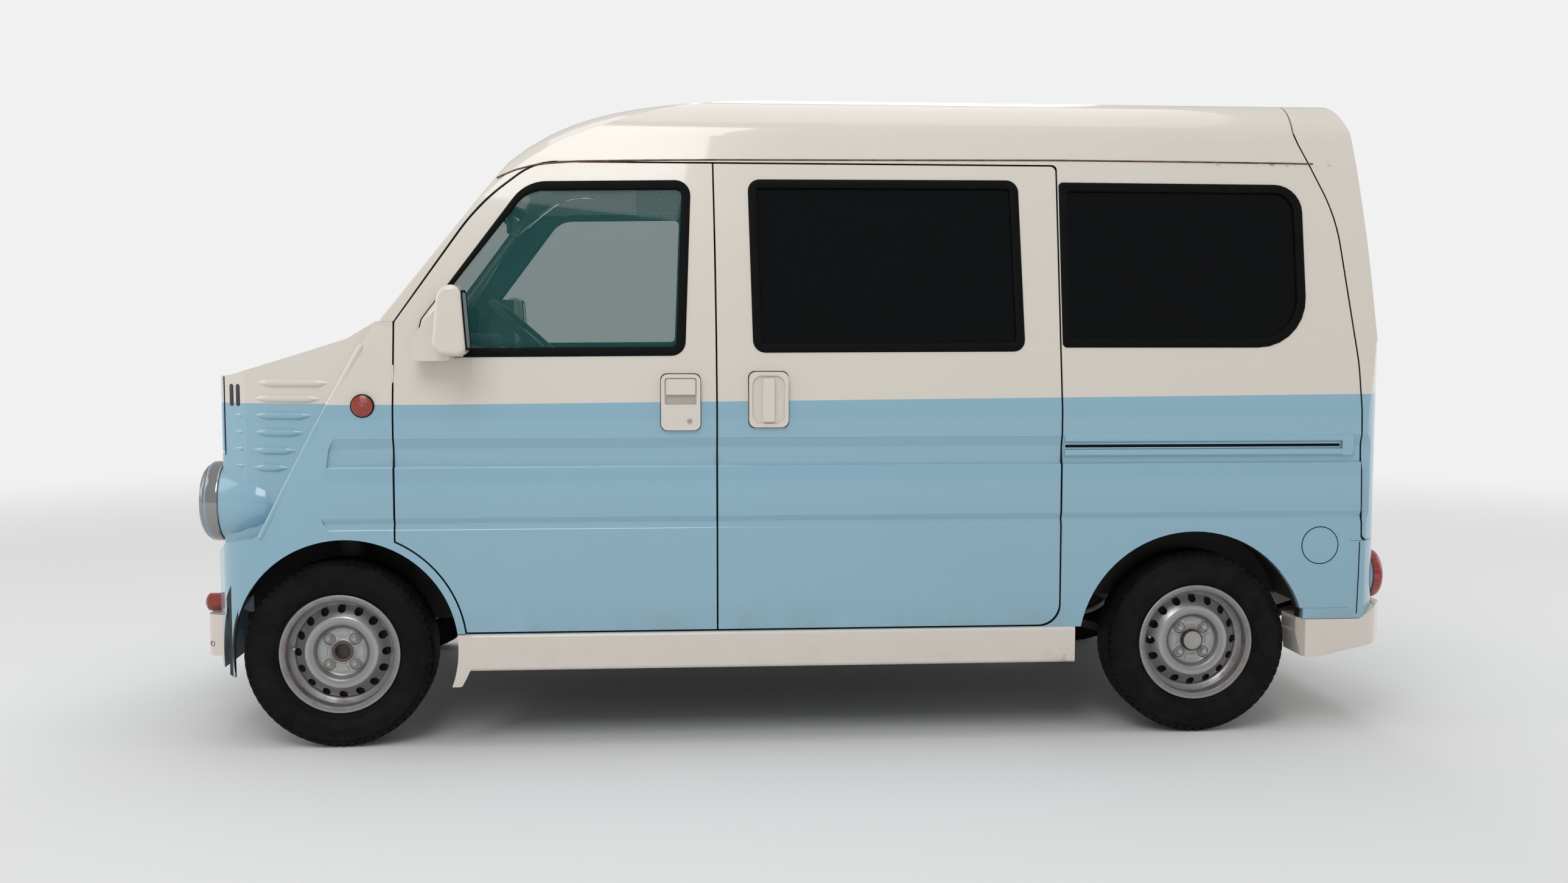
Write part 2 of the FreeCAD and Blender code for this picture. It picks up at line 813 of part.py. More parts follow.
def make_rim(x, y, turn):
    """Steel wheel with its outside facing +Y (turn 1) or -Y (turn -1)."""
    axis = (0, turn, 0)
    barrel = turned(rim_profile(), (x, y, tyre_radius), axis)
    disc = turned(disc_profile(), (x, y, tyre_radius), axis)
    holes = []
    for index in range(vent_count):
        angle = 2 * math.pi * index / vent_count
        cx = x + vent_circle * math.cos(angle)
        cz = tyre_radius + vent_circle * math.sin(angle)
        holes.append(drum(cx, cz, vent_radius, y - 60, y + 60))
    for index in range(bolt_count):
        angle = math.pi / 4 + 2 * math.pi * index / bolt_count
        cx = x + bolt_circle / 2 * math.cos(angle)
        cz = tyre_radius + bolt_circle / 2 * math.sin(angle)
        holes.append(drum(cx, cz, bolt_radius, y - 60, y + 60))
    return joined(barrel, disc.cut(Part.makeCompound(holes)))


def make_tyre(x, y):
    half = tyre_width / 2
    profile = [
        (bead_radius + touch + 2, -46, 0),
        (bead_radius + touch + 2, 46, 0),
        (rim_flange_radius + 3.5, 50.4, 3),
        (205, half, 34),
        (tyre_radius - 6, half - 4, 14),
        (tyre_radius, half - 22, 10),
        (tyre_radius, -half + 22, 10),
        (tyre_radius - 6, -half + 4, 14),
        (205, -half, 34),
        (rim_flange_radius + 3.5, -50.4, 3),
    ]
    return turned(profile, (x, y, tyre_radius), (0, 1, 0))


def make_knuckle():
    """Left steering knuckle with hub flange, brake disc and arms."""
    y = front_track / 2
    hub = drum(front_axle, tyre_radius, 60, y - 8, y + 7.7)
    nose = drum(front_axle, tyre_radius, hub_bore_radius - 1, y + 7, y + 15)
    bore = drum(front_axle, tyre_radius, hub_bore_radius - 8, y - 10, y + 20)
    disc = drum(front_axle, tyre_radius, 104, y - 34, y - 24)
    core = drum(front_axle, tyre_radius, 42, y - 80, y)
    post = rod((front_axle, y - steer_inset, knuckle_low), (front_axle, y - steer_inset, knuckle_high), 22)
    arm = rod((front_axle, y - steer_inset, 250), (front_axle - 110, y - steer_inset - 8, 250), 12)
    return joined(hub, nose, disc, core, post, arm).cut(bore)


# Lower body

def make_underbody():
    """Floors, footwells, heel plate, rails, wheel housings and seat boxes."""
    inner = half_width - side_wall - touch
    sill_inner = half_width - side_wall - 44 - touch
    bulkhead = door_front + panel_gap - touch
    front = block(-20, bulkhead, -sill_inner, sill_inner, 340, 372)
    toe = block(bulkhead - 30, bulkhead, -400, 400, 340, 1040)
    heel = block(-50, -20, -sill_inner, sill_inner, 340, load_floor)
    rear = block(-1580, -761, -inner, inner, load_floor - 36, load_floor)
    rear = rear.common(envelope(side_wall + touch, roof_wall, rear_wall, 40))
    middle = block(-761, -20, -sill_inner, sill_inner, load_floor - 36, load_floor)
    tail_sill = block(-1600, -1580, -620, 620, 500, load_floor)
    tail_beam = block(-1636 + touch, -1590, -620, 620, 500, 548)
    parts = [front, toe, heel, rear, middle, tail_sill, tail_beam]
    for sign in (1, -1):
        low, high = sorted((sign * 325, sign * (385 - touch)))
        parts.append(block(-60, 1625.7, low, high, 300, 341))
        low, high = sorted((sign * 430, sign * 500))
        parts.append(block(-1600, -20, low, high, 540, load_floor - 20))
        parts.append(block(-50, -20, low, high, 300, load_floor - 20))
        low, high = sorted((sign * 120, sign * 560))
        parts.append(block(150, 640, low, high, 372, 560))
    parts.append(make_tow_eye(1600, 360, 157, 310))
    parts.append(block(-1560, -900, -load_board_half, load_board_half, load_floor - 2, load_floor + load_board))
    solid = joined(*parts)
    for sign in (1, -1):
        low, high = sorted((sign * 397, sign * (inner - 2)))
        front_house = drum(front_axle - 4, tyre_radius, 342, low, high)
        front_house = front_house.common(block(900, bulkhead, -800, 800, 372, 700))
        rear_low, rear_high = sorted((sign * 512, sign * inner))
        rear_house = drum(arch_rear_x, arch_rear_z, arch_rear_radius + 24, rear_low, rear_high)
        rear_house = rear_house.common(block(-1600, -761, -800, 800, 372, load_floor - 10))
        solid = joined(solid, front_house, rear_house)
        low, high = sorted((sign * 405, sign * 800))
        solid = solid.cut(drum(front_axle - 4, tyre_radius, 332, low, high))
        low, high = sorted((sign * 520, sign * 800))
        solid = solid.cut(drum(arch_rear_x, arch_rear_z, arch_rear_radius + 14, low, high))
    return solid


def make_rear_panel():
    """Body-coloured lower tail with the round lamp pods."""
    band = OUTER.common(block(-1760, -1556, -800, 800, 331, 555))
    band = band.fuse(OUTER.common(block(-1560, -1422, -800, 800, 331, 361.5)))
    band = band.cut(block(-1636, -1400, -676, 676, 300, 570))
    pods = []
    for sign in (1, -1):
        profile = [(0, 0, 0), (70, 0, 0), (69, 44, 5), (0, 44, 0)]
        pods.append(turned(profile, (-1640, sign * 600, tail_lamp_z), (-1, 0, 0)))
    return joined(band, *pods)


def make_tail_lamps():
    lamps = []
    for sign in (1, -1):
        lamps.append(dome((-1684.1, sign * 600, tail_lamp_z), (-1, 0, 0), 63, 4, 9))
    return Part.makeCompound(lamps)


def make_rear_bumper():
    plan = [(-1416, -700, 0), (-1430, -742, 6), (-1630, -742, 45), (-1690, -640, 30), (-1697.5, 0, 5000),
            (-1690, 640, 30), (-1630, 742, 45), (-1430, 742, 6), (-1416, 700, 0), (-1416, 600, 0),
            (-1600, 600, 0), (-1600, -600, 0), (-1416, -600, 0)]
    side = [(-1410, 330, 0), (-1424, 222, 0), (-1470, 222, 0), (-1710, 275, 0), (-1710, 365, 0), (-1640, 365, 0),
            (-1588, 330, 0)]
    bumper = prism(plan, "XY", 200, 400).common(prism(side, "XZ", -800, 800))
    return bumper.cut(OUTER.common(block(-1760, -1400, -800, 800, 330.7, 560)))


def make_front_bumper():
    plan = [(1600, -640, 0), (1674, -610, 26), (1692, 0, 4000), (1674, 610, 26), (1600, 640, 0)]
    bar = prism(plan, "XY", 246, 362)
    return bar.cut(prism(wing_plan(), "XY", 100, 600))


def make_skirts():
    inner = sill_outer + touch
    points = [(inner, skirt_bottom, 0), (744, skirt_bottom, 10), (744, skirt_top, 8), (inner, skirt_top, 0)]
    skirt = prism(points, "YZ", -757, 938)
    tip = [(930, skirt_top, 0), (930, 230, 0), (946, 196, 0), (958, 174, 9), (992, 174, 0), (992, skirt_top, 0)]
    tip = prism(tip, "XZ", inner, 744).cut(drum(arch_front_x, arch_front_z, arch_front_radius, 700, 760))
    return both(joined(skirt, tip))


def make_fuel_lid():
    plate = drum(fuel_lid_x, fuel_lid_z, fuel_lid_radius, 700, 760)
    return plate.common(OUTER).cut(envelope(6, -20, -20, -20))


def headlamp_ring(y):
    return turned([(84, 0, 0), (lamp_radius, 0, 4), (lamp_radius - 2, 14, 8), (92, 28.4, 8), (84, 18, 3)],
                  (1672.1, y, lamp_z), (1, 0, 0))


def dome(centre, axis, radius, rim, rise):
    """Round lens with a straight rim and a domed face."""
    profile = [
        (0, 0, 0),
        (radius, 0, 0),
        (radius, rim, 0),
        (radius * 0.8, rim + rise * 0.42, radius * 0.4),
        (radius * 0.45, rim + rise * 0.84, radius * 0.4),
        (0, rim + rise, 0),
    ]
    return turned(profile, centre, axis)


def headlamp_lens(y):
    return dome((1672.1, y, lamp_z), (1, 0, 0), 83.7, 8, 14)


def make_indicators():
    """Round side markers and the lamps above the front bumper."""
    pieces = []
    for sign in (1, -1):
        marker = dome((1215, sign * (half_width - 8), 949), (0, sign, 0), 29, 12, 7)
        lamp = dome((1600, sign * 560, 388), (1, 0, 0), 25, 82, 12)
        pieces += [marker, lamp.cut(prism(wing_plan(), "XY", 100, 600))]
    pieces = [piece.cut(prism(wing_plan(), "XY", 100, 1000)) for piece in pieces]
    return Part.makeCompound(pieces)


def make_mirror():
    """Left door mirror: rounded housing on a triangular foot."""
    front = [(916, 1084, 24), (1008, 1092, 34), (990, 1272, 40), (930, 1274, 26)]
    shell = prism(front, "XZ", 772, 890)
    shell = shell.makeFillet(14, [edge for edge in shell.Edges if edge.BoundBox.YLength < 0.1])
    sail = [(970, 1072, 10), (1076, 1072, 24), (1066, 1140, 30), (1006, 1212, 20), (970, 1204, 0)]
    foot = prism(sail, "XZ", 690, 800).cut(OUTER)
    return joined(shell, foot)


def frame_of(x0, x1, z0, z1, radius, low, high):
    """Rounded rectangle in side view, pressed outwards from low to high."""
    corners = [(x0, z0, radius), (x1, z0, radius), (x1, z1, radius), (x0, z1, radius)]
    return prism(corners, "XZ", low, high)


def make_door_handle():
    """Front handle: plate with a recess under a lifting flap, and a lock."""
    plate = frame_of(300, 408, 880, 1034, 18, 700, 747).cut(OUTER)
    plate = plate.cut(frame_of(310, 398, 950, 1024, 8, 739.5, 760))
    flap = frame_of(314, 394, 978, 1021, 5, 738, 749)
    lock = drum(330, 906, 8, 738, 749)
    return joined(plate, flap, lock)


def make_slide_handle():
    """Handle of the sliding door: plate with a recess and an upright grip."""
    plate = frame_of(57, 166, 887, 1040, 20, 700, 746).cut(OUTER)
    plate = plate.cut(frame_of(67, 157, 897, 1030, 26, 739.5, 760))
    return joined(plate, frame_of(96, 128, 903, 1024, 6, 738, 752))


def make_dashboard():
    toe = door_front + panel_gap - 30 - 2 * touch
    profile = [(930, 760, 30), (toe, 700, 0), (toe, 1094, 0), (1060, 1110, 20), (960, 1090, 40), (915, 960, 40)]
    board = prism(profile, "XZ", -640, 640)
    board = board.cut(drum(front_axle, tyre_radius, 360, -700, 700))
    return board.cut(Part.makeCylinder(column_radius + touch, 204, STEER_CENTRE - STEER_AXIS * 204, STEER_AXIS))


STEER_CENTRE = Vector(850, -350, 1125)
STEER_AXIS = Vector(-math.cos(math.radians(48)), 0, math.sin(math.radians(48)))
column_radius = 30.0


def make_steering_wheel():
    """Wheel and column of the right-hand driving position."""
    centre = STEER_CENTRE
    tilt = STEER_AXIS
    rim = Part.makeTorus(180, 13, centre, tilt)
    hub = Part.makeCylinder(46, 30, centre - tilt * 26, tilt)
    spokes = []
    for angle in (0, 120, 240):
        spoke = block(0, 176, -14, 14, -16, -2)
        spoke.rotate(Vector(0, 0, 0), Vector(0, 0, 1), angle + 90)
        spoke.Placement = FreeCAD.Placement(centre, FreeCAD.Rotation(Vector(0, 0, 1), tilt)).multiply(spoke.Placement)
        spokes.append(spoke)
    column = Part.makeCylinder(column_radius, 180, centre - tilt * 200, tilt)
    return joined(rim, hub, column, *spokes)


def seat(y0, y1):
    """Front cushion and backrest with its head restraint."""
    cushion = prism([(330, 560.3, 0), (840, 560.3, 20), (850, 690, 50), (380, 660, 30), (330, 660, 0)], "XZ", y0, y1)
    back = prism([(330, 600, 20), (440, 620, 40), (330, 1130, 40), (225, 1120, 40)], "XZ", y0, y1)
    middle = (y0 + y1) / 2
    rest = prism([(228, 1140, 20), (320, 1150, 30), (300, 1310, 35), (222, 1300, 25)], "XZ", middle - 130, middle + 130)
    post = rod((268, middle, 1100), (268, middle, 1180), 9)
    return joined(cushion, back, rest, post)


def make_rear_bench():
    cushion = prism([(-760, 640.3, 0), (-330, 640.3, 20), (-320, 800, 40), (-760, 780, 0)], "XZ", -560, 560)
    back = prism([(-800, 700, 20), (-700, 720, 30), (-780, 1180, 40), (-880, 1170, 40)], "XZ", -560, 560)
    return joined(cushion, back)


def make_engine():
    core = block(-900, -420, -270, 300, 290, 560)
    posts = [rod((x, y, 540), (x, y, load_floor - 36.3), 24) for x in (-860, -460) for y in (-230, 260)]
    return joined(core, *posts)


def make_front_suspension():
    """Cross tube, lower arms and struts of the steered axle."""
    parts = [block(1240, 1350, -384, 384, 262, 299.7)]
    for sign in (1, -1):
        y = sign * (front_track / 2 - steer_inset)
        inner = sign * strut_y
        parts.append(rod((front_axle, sign * 330, 280), (front_axle, y, 142), 14))
        parts.append(rod((1250, sign * 330, 280), (front_axle, y, 142), 12))
        parts.append(rod((front_axle, y, 132), (front_axle, y, knuckle_low - touch), 14))
        parts.append(rod((front_axle, y, knuckle_high + touch), (front_axle, y, knuckle_high + 20), 14))
        parts.append(rod((front_axle, y, knuckle_high + 14), (front_axle, inner, knuckle_high + 14), 11))
        parts.append(rod((front_axle, inner, knuckle_high - 20), (front_axle, inner, 590.5), 24))
        parts.append(rod((front_axle, inner, 440), (front_axle, inner, 560), 40))
    return joined(*parts)


def make_rear_axle():
    """Dead beam with leaf springs and brake drums."""
    half = rear_track / 2
    beam = rod((rear_axle, -half + 20, tyre_radius), (rear_axle, half - 20, tyre_radius), 36)
    parts = [beam]
    for sign in (1, -1):
        low, high = sorted((sign * (half - 80), sign * (half - 20)))
        parts.append(drum(rear_axle, tyre_radius, 104, low, high))
        low, high = sorted((sign * (half - 21), sign * (half + 7.7)))
        parts.append(drum(rear_axle, tyre_radius, 60, low, high))
        low, high = sorted((sign * (half), sign * (half + 30)))
        parts.append(drum(rear_axle, tyre_radius, hub_bore_radius - 1, low, high))
        low, high = sorted((sign * 440, sign * 490))
        leaf = prism([(-1579.7, 330, 0), (-1122, 190, 900), (-620, 330, 0), (-620, 352, 0), (-1122, 216, 900),
                      (-1579.7, 352, 0)], "XZ", low, high)
        parts.append(leaf)
        parts.append(block(-1170, -1074, low, high, 220, 300))
        parts.append(block(-1579.7, -1556, low, high, 336, 539.7))
        parts.append(block(-646, -618, low, high, 336, 539.7))
    return joined(*parts)


def make_exhaust():
    muffler = rod((-1480, -340, 400), (-1480, 300, 400), 80)
    pipe = rod((-1480, -200, 400), (-900.3, -200, 400), 22)
    hangers = [rod((-1480, y, 470), (-1480, y, load_floor - 36.3), 10) for y in (-280, 240)]
    drop = rod((-1480, -300, 400), (-1560, -300, 222), 18)
    outlet = rod((-1560, -300, 222), (-1680, -300, 222), 18)
    return joined(muffler, pipe, drop, ball((-1560, -300, 222), 18), outlet, *hangers)


def make_fuel_tank():
    tank = prism([(60, 130, 40), (700, 130, 40), (700, 560, 40), (60, 560, 40)], "XY", 195, 339.7)
    return tank.cut(block(0, 1600, 324.7, 391, 299.7, 400))


def screen_x(y, z):
    """Front surface of the windscreen at a width and height."""
    return screen_foot_x + 14 - y * y / 5200 + screen_lean * (z - screen_foot)


def make_wipers():
    """Two wiper arms parked at the foot of the windscreen."""
    arms = []
    for y in (-430, 60):
        foot = screen_x(y, 1160)
        spindle = rod((foot - 8, y, 1152), (foot + 14, y, 1170), 9)
        arm = rod((foot + 13, y, 1168), (screen_x(y + 330, 1186) + 13, y + 330, 1186), 5)
        arms.append(joined(spindle, arm).cut(OUTER).cut(prism(hood_line(-touch), "XZ", -700, 700)))
    return Part.makeCompound(arms)


def make_tow_eye(x, y, z0, z1):
    """Upright plate with a hole across the van, below a rail."""
    plate = prism([(x - 26, z0, 20), (x + 26, z0, 20), (x + 26, z1, 0), (x - 26, z1, 0)], "XZ", y - 6, y + 6)
    return plate.cut(drum(x, z0 + 26, tow_eye_radius, y - 20, y + 20))


def main():
    os.makedirs("parts", exist_ok=True)
    nodes = {}
    side = make_body_side()
    filler = drum(fuel_lid_x, fuel_lid_z, fuel_lid_radius + 2.5, half_width - 6 - touch, 800)
    nodes["body_side_left"] = side.cut(filler)
    nodes["body_side_right"] = mirrored(side)
    nodes["roof"] = make_roof()
    nodes["underbody"] = make_underbody()
    nodes["nose"] = make_nose()
    nodes["rear_panel"] = make_rear_panel()
    skirts = make_skirts()
    nodes["bumpers_skirts"] = Part.makeCompound([make_rear_bumper(), make_front_bumper(), *skirts.Solids])
    nodes["fuel_lid"] = make_fuel_lid()
    nodes["headlamp_rings"] = both(headlamp_ring(lamp_y))
    nodes["headlamp_lenses"] = both(headlamp_lens(lamp_y))
    nodes["indicators"] = make_indicators()
    nodes["tail_lamps"] = make_tail_lamps()
    nodes["front_lid"] = make_lid()
    door = make_front_door()
    nodes["front_door_left"] = door
    nodes["front_door_right"] = mirrored(door)
    glass = pane("front")
    nodes["door_glass_left"] = glass
    nodes["door_glass_right"] = mirrored(glass)
    fittings = Part.makeCompound([make_mirror(), make_door_handle()])
    nodes["mirror_and_handle_left"] = fittings
    nodes["mirror_and_handle_right"] = mirrored(fittings)
    sliding = make_sliding_door()
    nodes["sliding_door_left"] = sliding
    nodes["sliding_door_right"] = mirrored(sliding)
    nodes["slide_handles"] = both(make_slide_handle())
    dark = [pane("slide"), pane("quarter")]
    nodes["side_glass"] = Part.makeCompound(dark + [mirrored(item) for item in dark])
    nodes["tailgate"] = make_tailgate()
    nodes["tailgate_glass"] = make_tail_glass()
    nodes["windscreen"] = make_windscreen()
    nodes["wipers"] = make_wipers()
    nodes["dashboard"] = make_dashboard()
    nodes["steering_wheel"] = make_steering_wheel()
    nodes["seats"] = Part.makeCompound([seat(110, 600), seat(-600, -110), make_rear_bench()])
    nodes["engine"] = make_engine()
    nodes["exhaust"] = make_exhaust()
    nodes["front_suspension"] = make_front_suspension()
    nodes["rear_axle"] = make_rear_axle()
    nodes["fuel_tank"] = make_fuel_tank()
    for name, x, track in (("front", front_axle, front_track), ("rear", rear_axle, rear_track)):
        for side_name, turn in (("left", 1), ("right", -1)):
            nodes[f"{name}_wheel_{side_name}"] = make_rim(x, turn * track / 2, turn)
            nodes[f"{name}_tyre_{side_name}"] = make_tyre(x, turn * track / 2)
    knuckle = make_knuckle()
    nodes["knuckle_left"] = knuckle
    nodes["knuckle_right"] = mirrored(knuckle)
    for name, shape in nodes.items():
        shape.exportStep(f"parts/{name}.step")


if __name__ == "__main__":
    main()
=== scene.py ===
import math

import bpy
from mathutils import Matrix, Vector


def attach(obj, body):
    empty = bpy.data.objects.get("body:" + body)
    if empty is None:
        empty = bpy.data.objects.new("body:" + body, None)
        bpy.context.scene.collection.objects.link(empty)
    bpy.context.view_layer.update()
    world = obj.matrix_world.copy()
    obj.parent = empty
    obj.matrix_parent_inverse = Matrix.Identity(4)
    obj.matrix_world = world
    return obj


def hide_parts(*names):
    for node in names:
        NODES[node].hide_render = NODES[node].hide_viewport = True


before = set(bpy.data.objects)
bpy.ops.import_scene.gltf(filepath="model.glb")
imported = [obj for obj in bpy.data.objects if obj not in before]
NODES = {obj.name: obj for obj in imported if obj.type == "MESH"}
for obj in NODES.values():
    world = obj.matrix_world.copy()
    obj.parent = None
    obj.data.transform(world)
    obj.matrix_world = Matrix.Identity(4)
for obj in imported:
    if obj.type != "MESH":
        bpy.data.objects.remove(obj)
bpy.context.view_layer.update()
SIDES = ((1, "left"), (-1, "right"))
SEAL = ("black_plastic", "seal_rubber")
AHEAD, BACK = (1, 0, 0), (-1, 0, 0)
FRONT_AXLE, REAR_AXLE = 1.2975, -1.1225
FRONT_ARCH, REAR_ARCH = (1.272, 0.278), (-1.100, 0.255)
NUT_CIRCLE = 0.05
LAMP_Y, LAMP_Z = 0.5, 0.668
WAIST, WAIST_HALF, SIDE_LEAN = 0.93, 0.737, 0.1643
RUBBER_SUNK = 0.011
MERGE_GAP = 0.00002
SHARP_EDGE = 0.8
BLACK = (0.02, 0.02, 0.02)
# Near black of the painted shade inside the wheel arches
ARCH_PAINTED_SHADE = (0.008, 0.008, 0.008)
LINING_GREY = (0.115, 0.12, 0.125)
PAINT_DIRT = (0.16, 0.13, 0.10)
TRIM_DIRT = (0.25, 0.18, 0.12)
SEAT_SPAN = (0.11, 0.60)
BENCH_SPAN = (-0.56, 0.56)

bl_info = {
    "name": "Small two-tone van",
    "version": (1, 0, 0),
    "blender": (4, 5, 0),
    "location": "View3D > Sidebar > Van",
    "description": "Dresses the small high-roofed van with its finishes, seals, tyres, lamps and cabin",
    "category": "Object",
}


class VanSizes(bpy.types.PropertyGroup):
    """Sizes of the van's trim."""

    paint_line: bpy.props.FloatProperty(
        name="Paint line", description="Height of the line between the two body colours at the front",
        default=0.952, min=0.5, max=1.5, unit="LENGTH")
    paint_slope: bpy.props.FloatProperty(
        name="Paint line rise", description="Rise of the paint line for each metre towards the tail",
        default=0.0088, min=0.0, max=0.1)
    seal_width: bpy.props.FloatProperty(
        name="Window rubber width", description="Width of the rubber round the side windows",
        default=0.021, min=0.005, max=0.06, unit="LENGTH")
    seal_proud: bpy.props.FloatProperty(
        name="Window rubber height", description="How far the rubber stands out of the skin",
        default=0.0035, min=0.001, max=0.01, unit="LENGTH")
    tyre_radius: bpy.props.FloatProperty(
        name="Tyre radius", description="Radius over the tread", default=0.26, min=0.2, max=0.4, unit="LENGTH")
    groove_depth: bpy.props.FloatProperty(
        name="Tread depth", description="Depth of the tread's grooves", default=0.006, min=0.001, max=0.01,
        unit="LENGTH")
    lug_count: bpy.props.IntProperty(
        name="Shoulder blocks", description="Tread blocks round each shoulder", default=64, min=20, max=120)
    nut_size: bpy.props.FloatProperty(
        name="Wheel nut size", description="Width across the flats of a wheel nut", default=0.019, min=0.01, max=0.03,
        unit="LENGTH")


class VanColours(bpy.types.PropertyGroup):
    """Colours of the van's finishes."""

    cream: bpy.props.FloatVectorProperty(
        name="Cream", description="Upper body paint", subtype="COLOR", default=(0.68, 0.635, 0.565), min=0, max=1)
    blue: bpy.props.FloatVectorProperty(
        name="Light blue", description="Lower body paint", subtype="COLOR", default=(0.245, 0.435, 0.545), min=0, max=1)
    white: bpy.props.FloatVectorProperty(
        name="Trim white", description="Bumpers, skirts, handles and mirrors", subtype="COLOR",
        default=(0.68, 0.625, 0.56), min=0, max=1)
    rubber: bpy.props.FloatVectorProperty(
        name="Rubber", description="Seals and tyres", subtype="COLOR", default=(0.005, 0.005, 0.0055), min=0, max=1)
    steel: bpy.props.FloatVectorProperty(
        name="Wheel silver", description="Silver paint of the wheels", subtype="COLOR", default=(0.42, 0.42, 0.42),
        min=0, max=1)
    rust: bpy.props.FloatVectorProperty(
        name="Rust", description="Rust on wheels and seams", subtype="COLOR", default=(0.20, 0.075, 0.03), min=0, max=1)


# Shader maths


def maths(operation, swapped=False):
    """Method of Value that adds one Math node."""
    def method(self, other=None):
        made = self.tree.nodes.new("ShaderNodeMath")
        made.operation = operation
        for place, entry in enumerate((other, self) if swapped else (self, other)):
            if entry is not None:
                fill(self.tree, made.inputs[place], entry)
        return Value(self.tree, made.outputs[0])
    return method


class Value:
    """Socket of a node tree that takes part in Python sums."""

    def __init__(self, tree, socket):
        self.tree = tree
        self.socket = socket

    __add__, __radd__ = maths("ADD"), maths("ADD", True)
    __sub__, __rsub__ = maths("SUBTRACT"), maths("SUBTRACT", True)
    __mul__, __rmul__ = maths("MULTIPLY"), maths("MULTIPLY", True)
    __abs__, root = maths("ABSOLUTE"), maths("SQRT")
    low, high = maths("MINIMUM"), maths("MAXIMUM")

    def ramp(self, start, end):
        """0 below start, 1 above end (or the reverse), straight between."""
        made = add_node(self.tree, "ShaderNodeMapRange", {"Value": self, "From Min": start, "From Max": end})
        return Value(self.tree, made.outputs[0])


def fill(tree, entry, value):
    """Links an input to a socket, or sets it to a number or a colour."""
    if isinstance(value, Value):
        value = value.socket
    if isinstance(value, bpy.types.NodeSocket):
        tree.links.new(value, entry)
    elif hasattr(value, "__len__"):
        entry.default_value = (*value[:3], 1.0)
    else:
        entry.default_value = value


def add_node(tree, kind, values=None, **settings):
    """Node of a kind whose settings are made first and whose inputs are then filled."""
    made = tree.nodes.new(kind)
    for name, setting in settings.items():
        setattr(made, name, setting)
    for name, value in (values or {}).items():
        fill(tree, made.inputs[name], value)
    return made


class Finish:
    """A material under construction."""

    def __init__(self, name, colour, roughness, metallic=0.0, **fixed):
        self.material = bpy.data.materials.new(name)
        self.material.use_nodes = True
        self.tree = self.material.node_tree
        self.shader = self.tree.nodes["Principled BSDF"]
        self.set("Base Color", colour)
        self.set("Roughness", roughness)
        self.set("Metallic", metallic)
        for socket, value in fixed.items():
            self.set(socket.replace("_", " "), value)
        self.place = self.output("ShaderNodeTexCoord", "Object")
        split = add_node(self.tree, "ShaderNodeSeparateXYZ", {"Vector": self.place})
        self.x, self.y, self.z = (Value(self.tree, split.outputs[k]) for k in range(3))

    def set(self, socket, value):
        fill(self.tree, self.shader.inputs[socket], value)

    def output(self, kind, output, values=None, **settings):
        """One output of a new node."""
        return Value(self.tree, add_node(self.tree, kind, values, **settings).outputs[output])

    def noise(self, scale, detail=2.0, roughness=0.5):
        return self.output("ShaderNodeTexNoise", "Fac",
                           {"Vector": self.place, "Scale": scale, "Detail": detail, "Roughness": roughness})

    def cells(self, scale):
        return self.output("ShaderNodeTexVoronoi", "Distance", {"Vector": self.place, "Scale": scale})

    def waves(self, scale, axis):
        return self.output("ShaderNodeTexWave", "Fac", {"Vector": self.place, "Scale": scale, "Distortion": 0.0},
                           bands_direction=axis)

    def blend(self, factor, first, second):
        """Colour that goes from first to second as the factor goes from 0 to 1."""
        return self.output("ShaderNodeMix", 2, {0: factor, 6: first, 7: second}, data_type="RGBA")

    def bump(self, height, strength, distance):
        self.set("Normal", self.output("ShaderNodeBump", "Normal",
                                       {"Strength": strength, "Distance": distance, "Height": height}))


def darker(colour, share):
    """A share of a colour's light."""
    return tuple(channel * share for channel in colour)


def sizes():
    """The van's sizes in the scene."""
    return bpy.context.scene.van_sizes


def colours():
    """The van's colours in the scene."""
    return bpy.context.scene.van_colours


FINISHES = {}


def finish(name):
    """The material of that name, made once."""
    if name not in FINISHES:
        maker, *values = MAKERS[name]
        FINISHES[name] = maker(name, *values).material
    return FINISHES[name]


def body_paint(name, pillar):
    """Two-tone gloss paint, rust spots along the roof seam, trim on the cabin side, and painted shade: near black
    inside the wheel arches.

    pillar: colour of the trim above the waist, on the cabin side.
    """
    s, c = sizes(), colours()
    made = Finish(name, c.blue, 0.2, Coat_Weight=1.0, Coat_Roughness=0.03)
    inside = cabin_side(made)
    line = s.paint_line + (1.0 - made.x).high(0.0) * s.paint_slope
    upper = (made.z - line).ramp(-0.0006, 0.0006)
    tone = made.noise(1.3, 3.0)
    cream = made.blend(tone.ramp(0.3, 0.7), darker(c.cream, 0.97), c.cream)
    blue = made.blend(tone.ramp(0.3, 0.7), darker(c.blue, 0.96), c.blue)
    paint = made.blend(upper, blue, cream)
    dirt = made.z.ramp(0.42, 0.28) * made.noise(9.0, 6.0, 0.6).ramp(0.35, 0.8) * 0.45
    paint = made.blend(dirt, paint, PAINT_DIRT)
    seam_line = 1.0 - (abs(made.z - 1.631) * 110.0).low(1.0)
    spots = made.noise(38.0, 5.0, 0.7).ramp(0.56, 0.64) * seam_line * made.x.ramp(-1.05, -1.2)
    paint = made.blend(spots * 0.8, paint, c.rust)
    panel = made.blend(made.z.ramp(1.055, 1.065), LINING_GREY, pillar)
    # Painted shade: inside the wheel arches, and round the front one into the nose, the paint goes near black and matt
    arch = under_arch(made, FRONT_ARCH, 0.3125).high(under_arch(made, REAR_ARCH, 0.3375))
    arch = arch.high(under_arch(made, FRONT_ARCH, 0.36, 0.700) * made.x.ramp(1.604, 1.602))
    panel = made.blend(arch, panel, ARCH_PAINTED_SHADE)
    inside = inside.high(arch)
    made.set("Base Color", made.blend(inside, paint, panel))
    shine = 0.15 + made.noise(5.0, 3.0) * 0.08 + dirt * 0.5
    made.set("Roughness", shine * (1.0 - inside) + inside * 0.62)
    made.set("Coat Weight", 1.0 - inside)
    made.bump(made.noise(420.0, 1.0), 0.05, 0.0004)
    return made


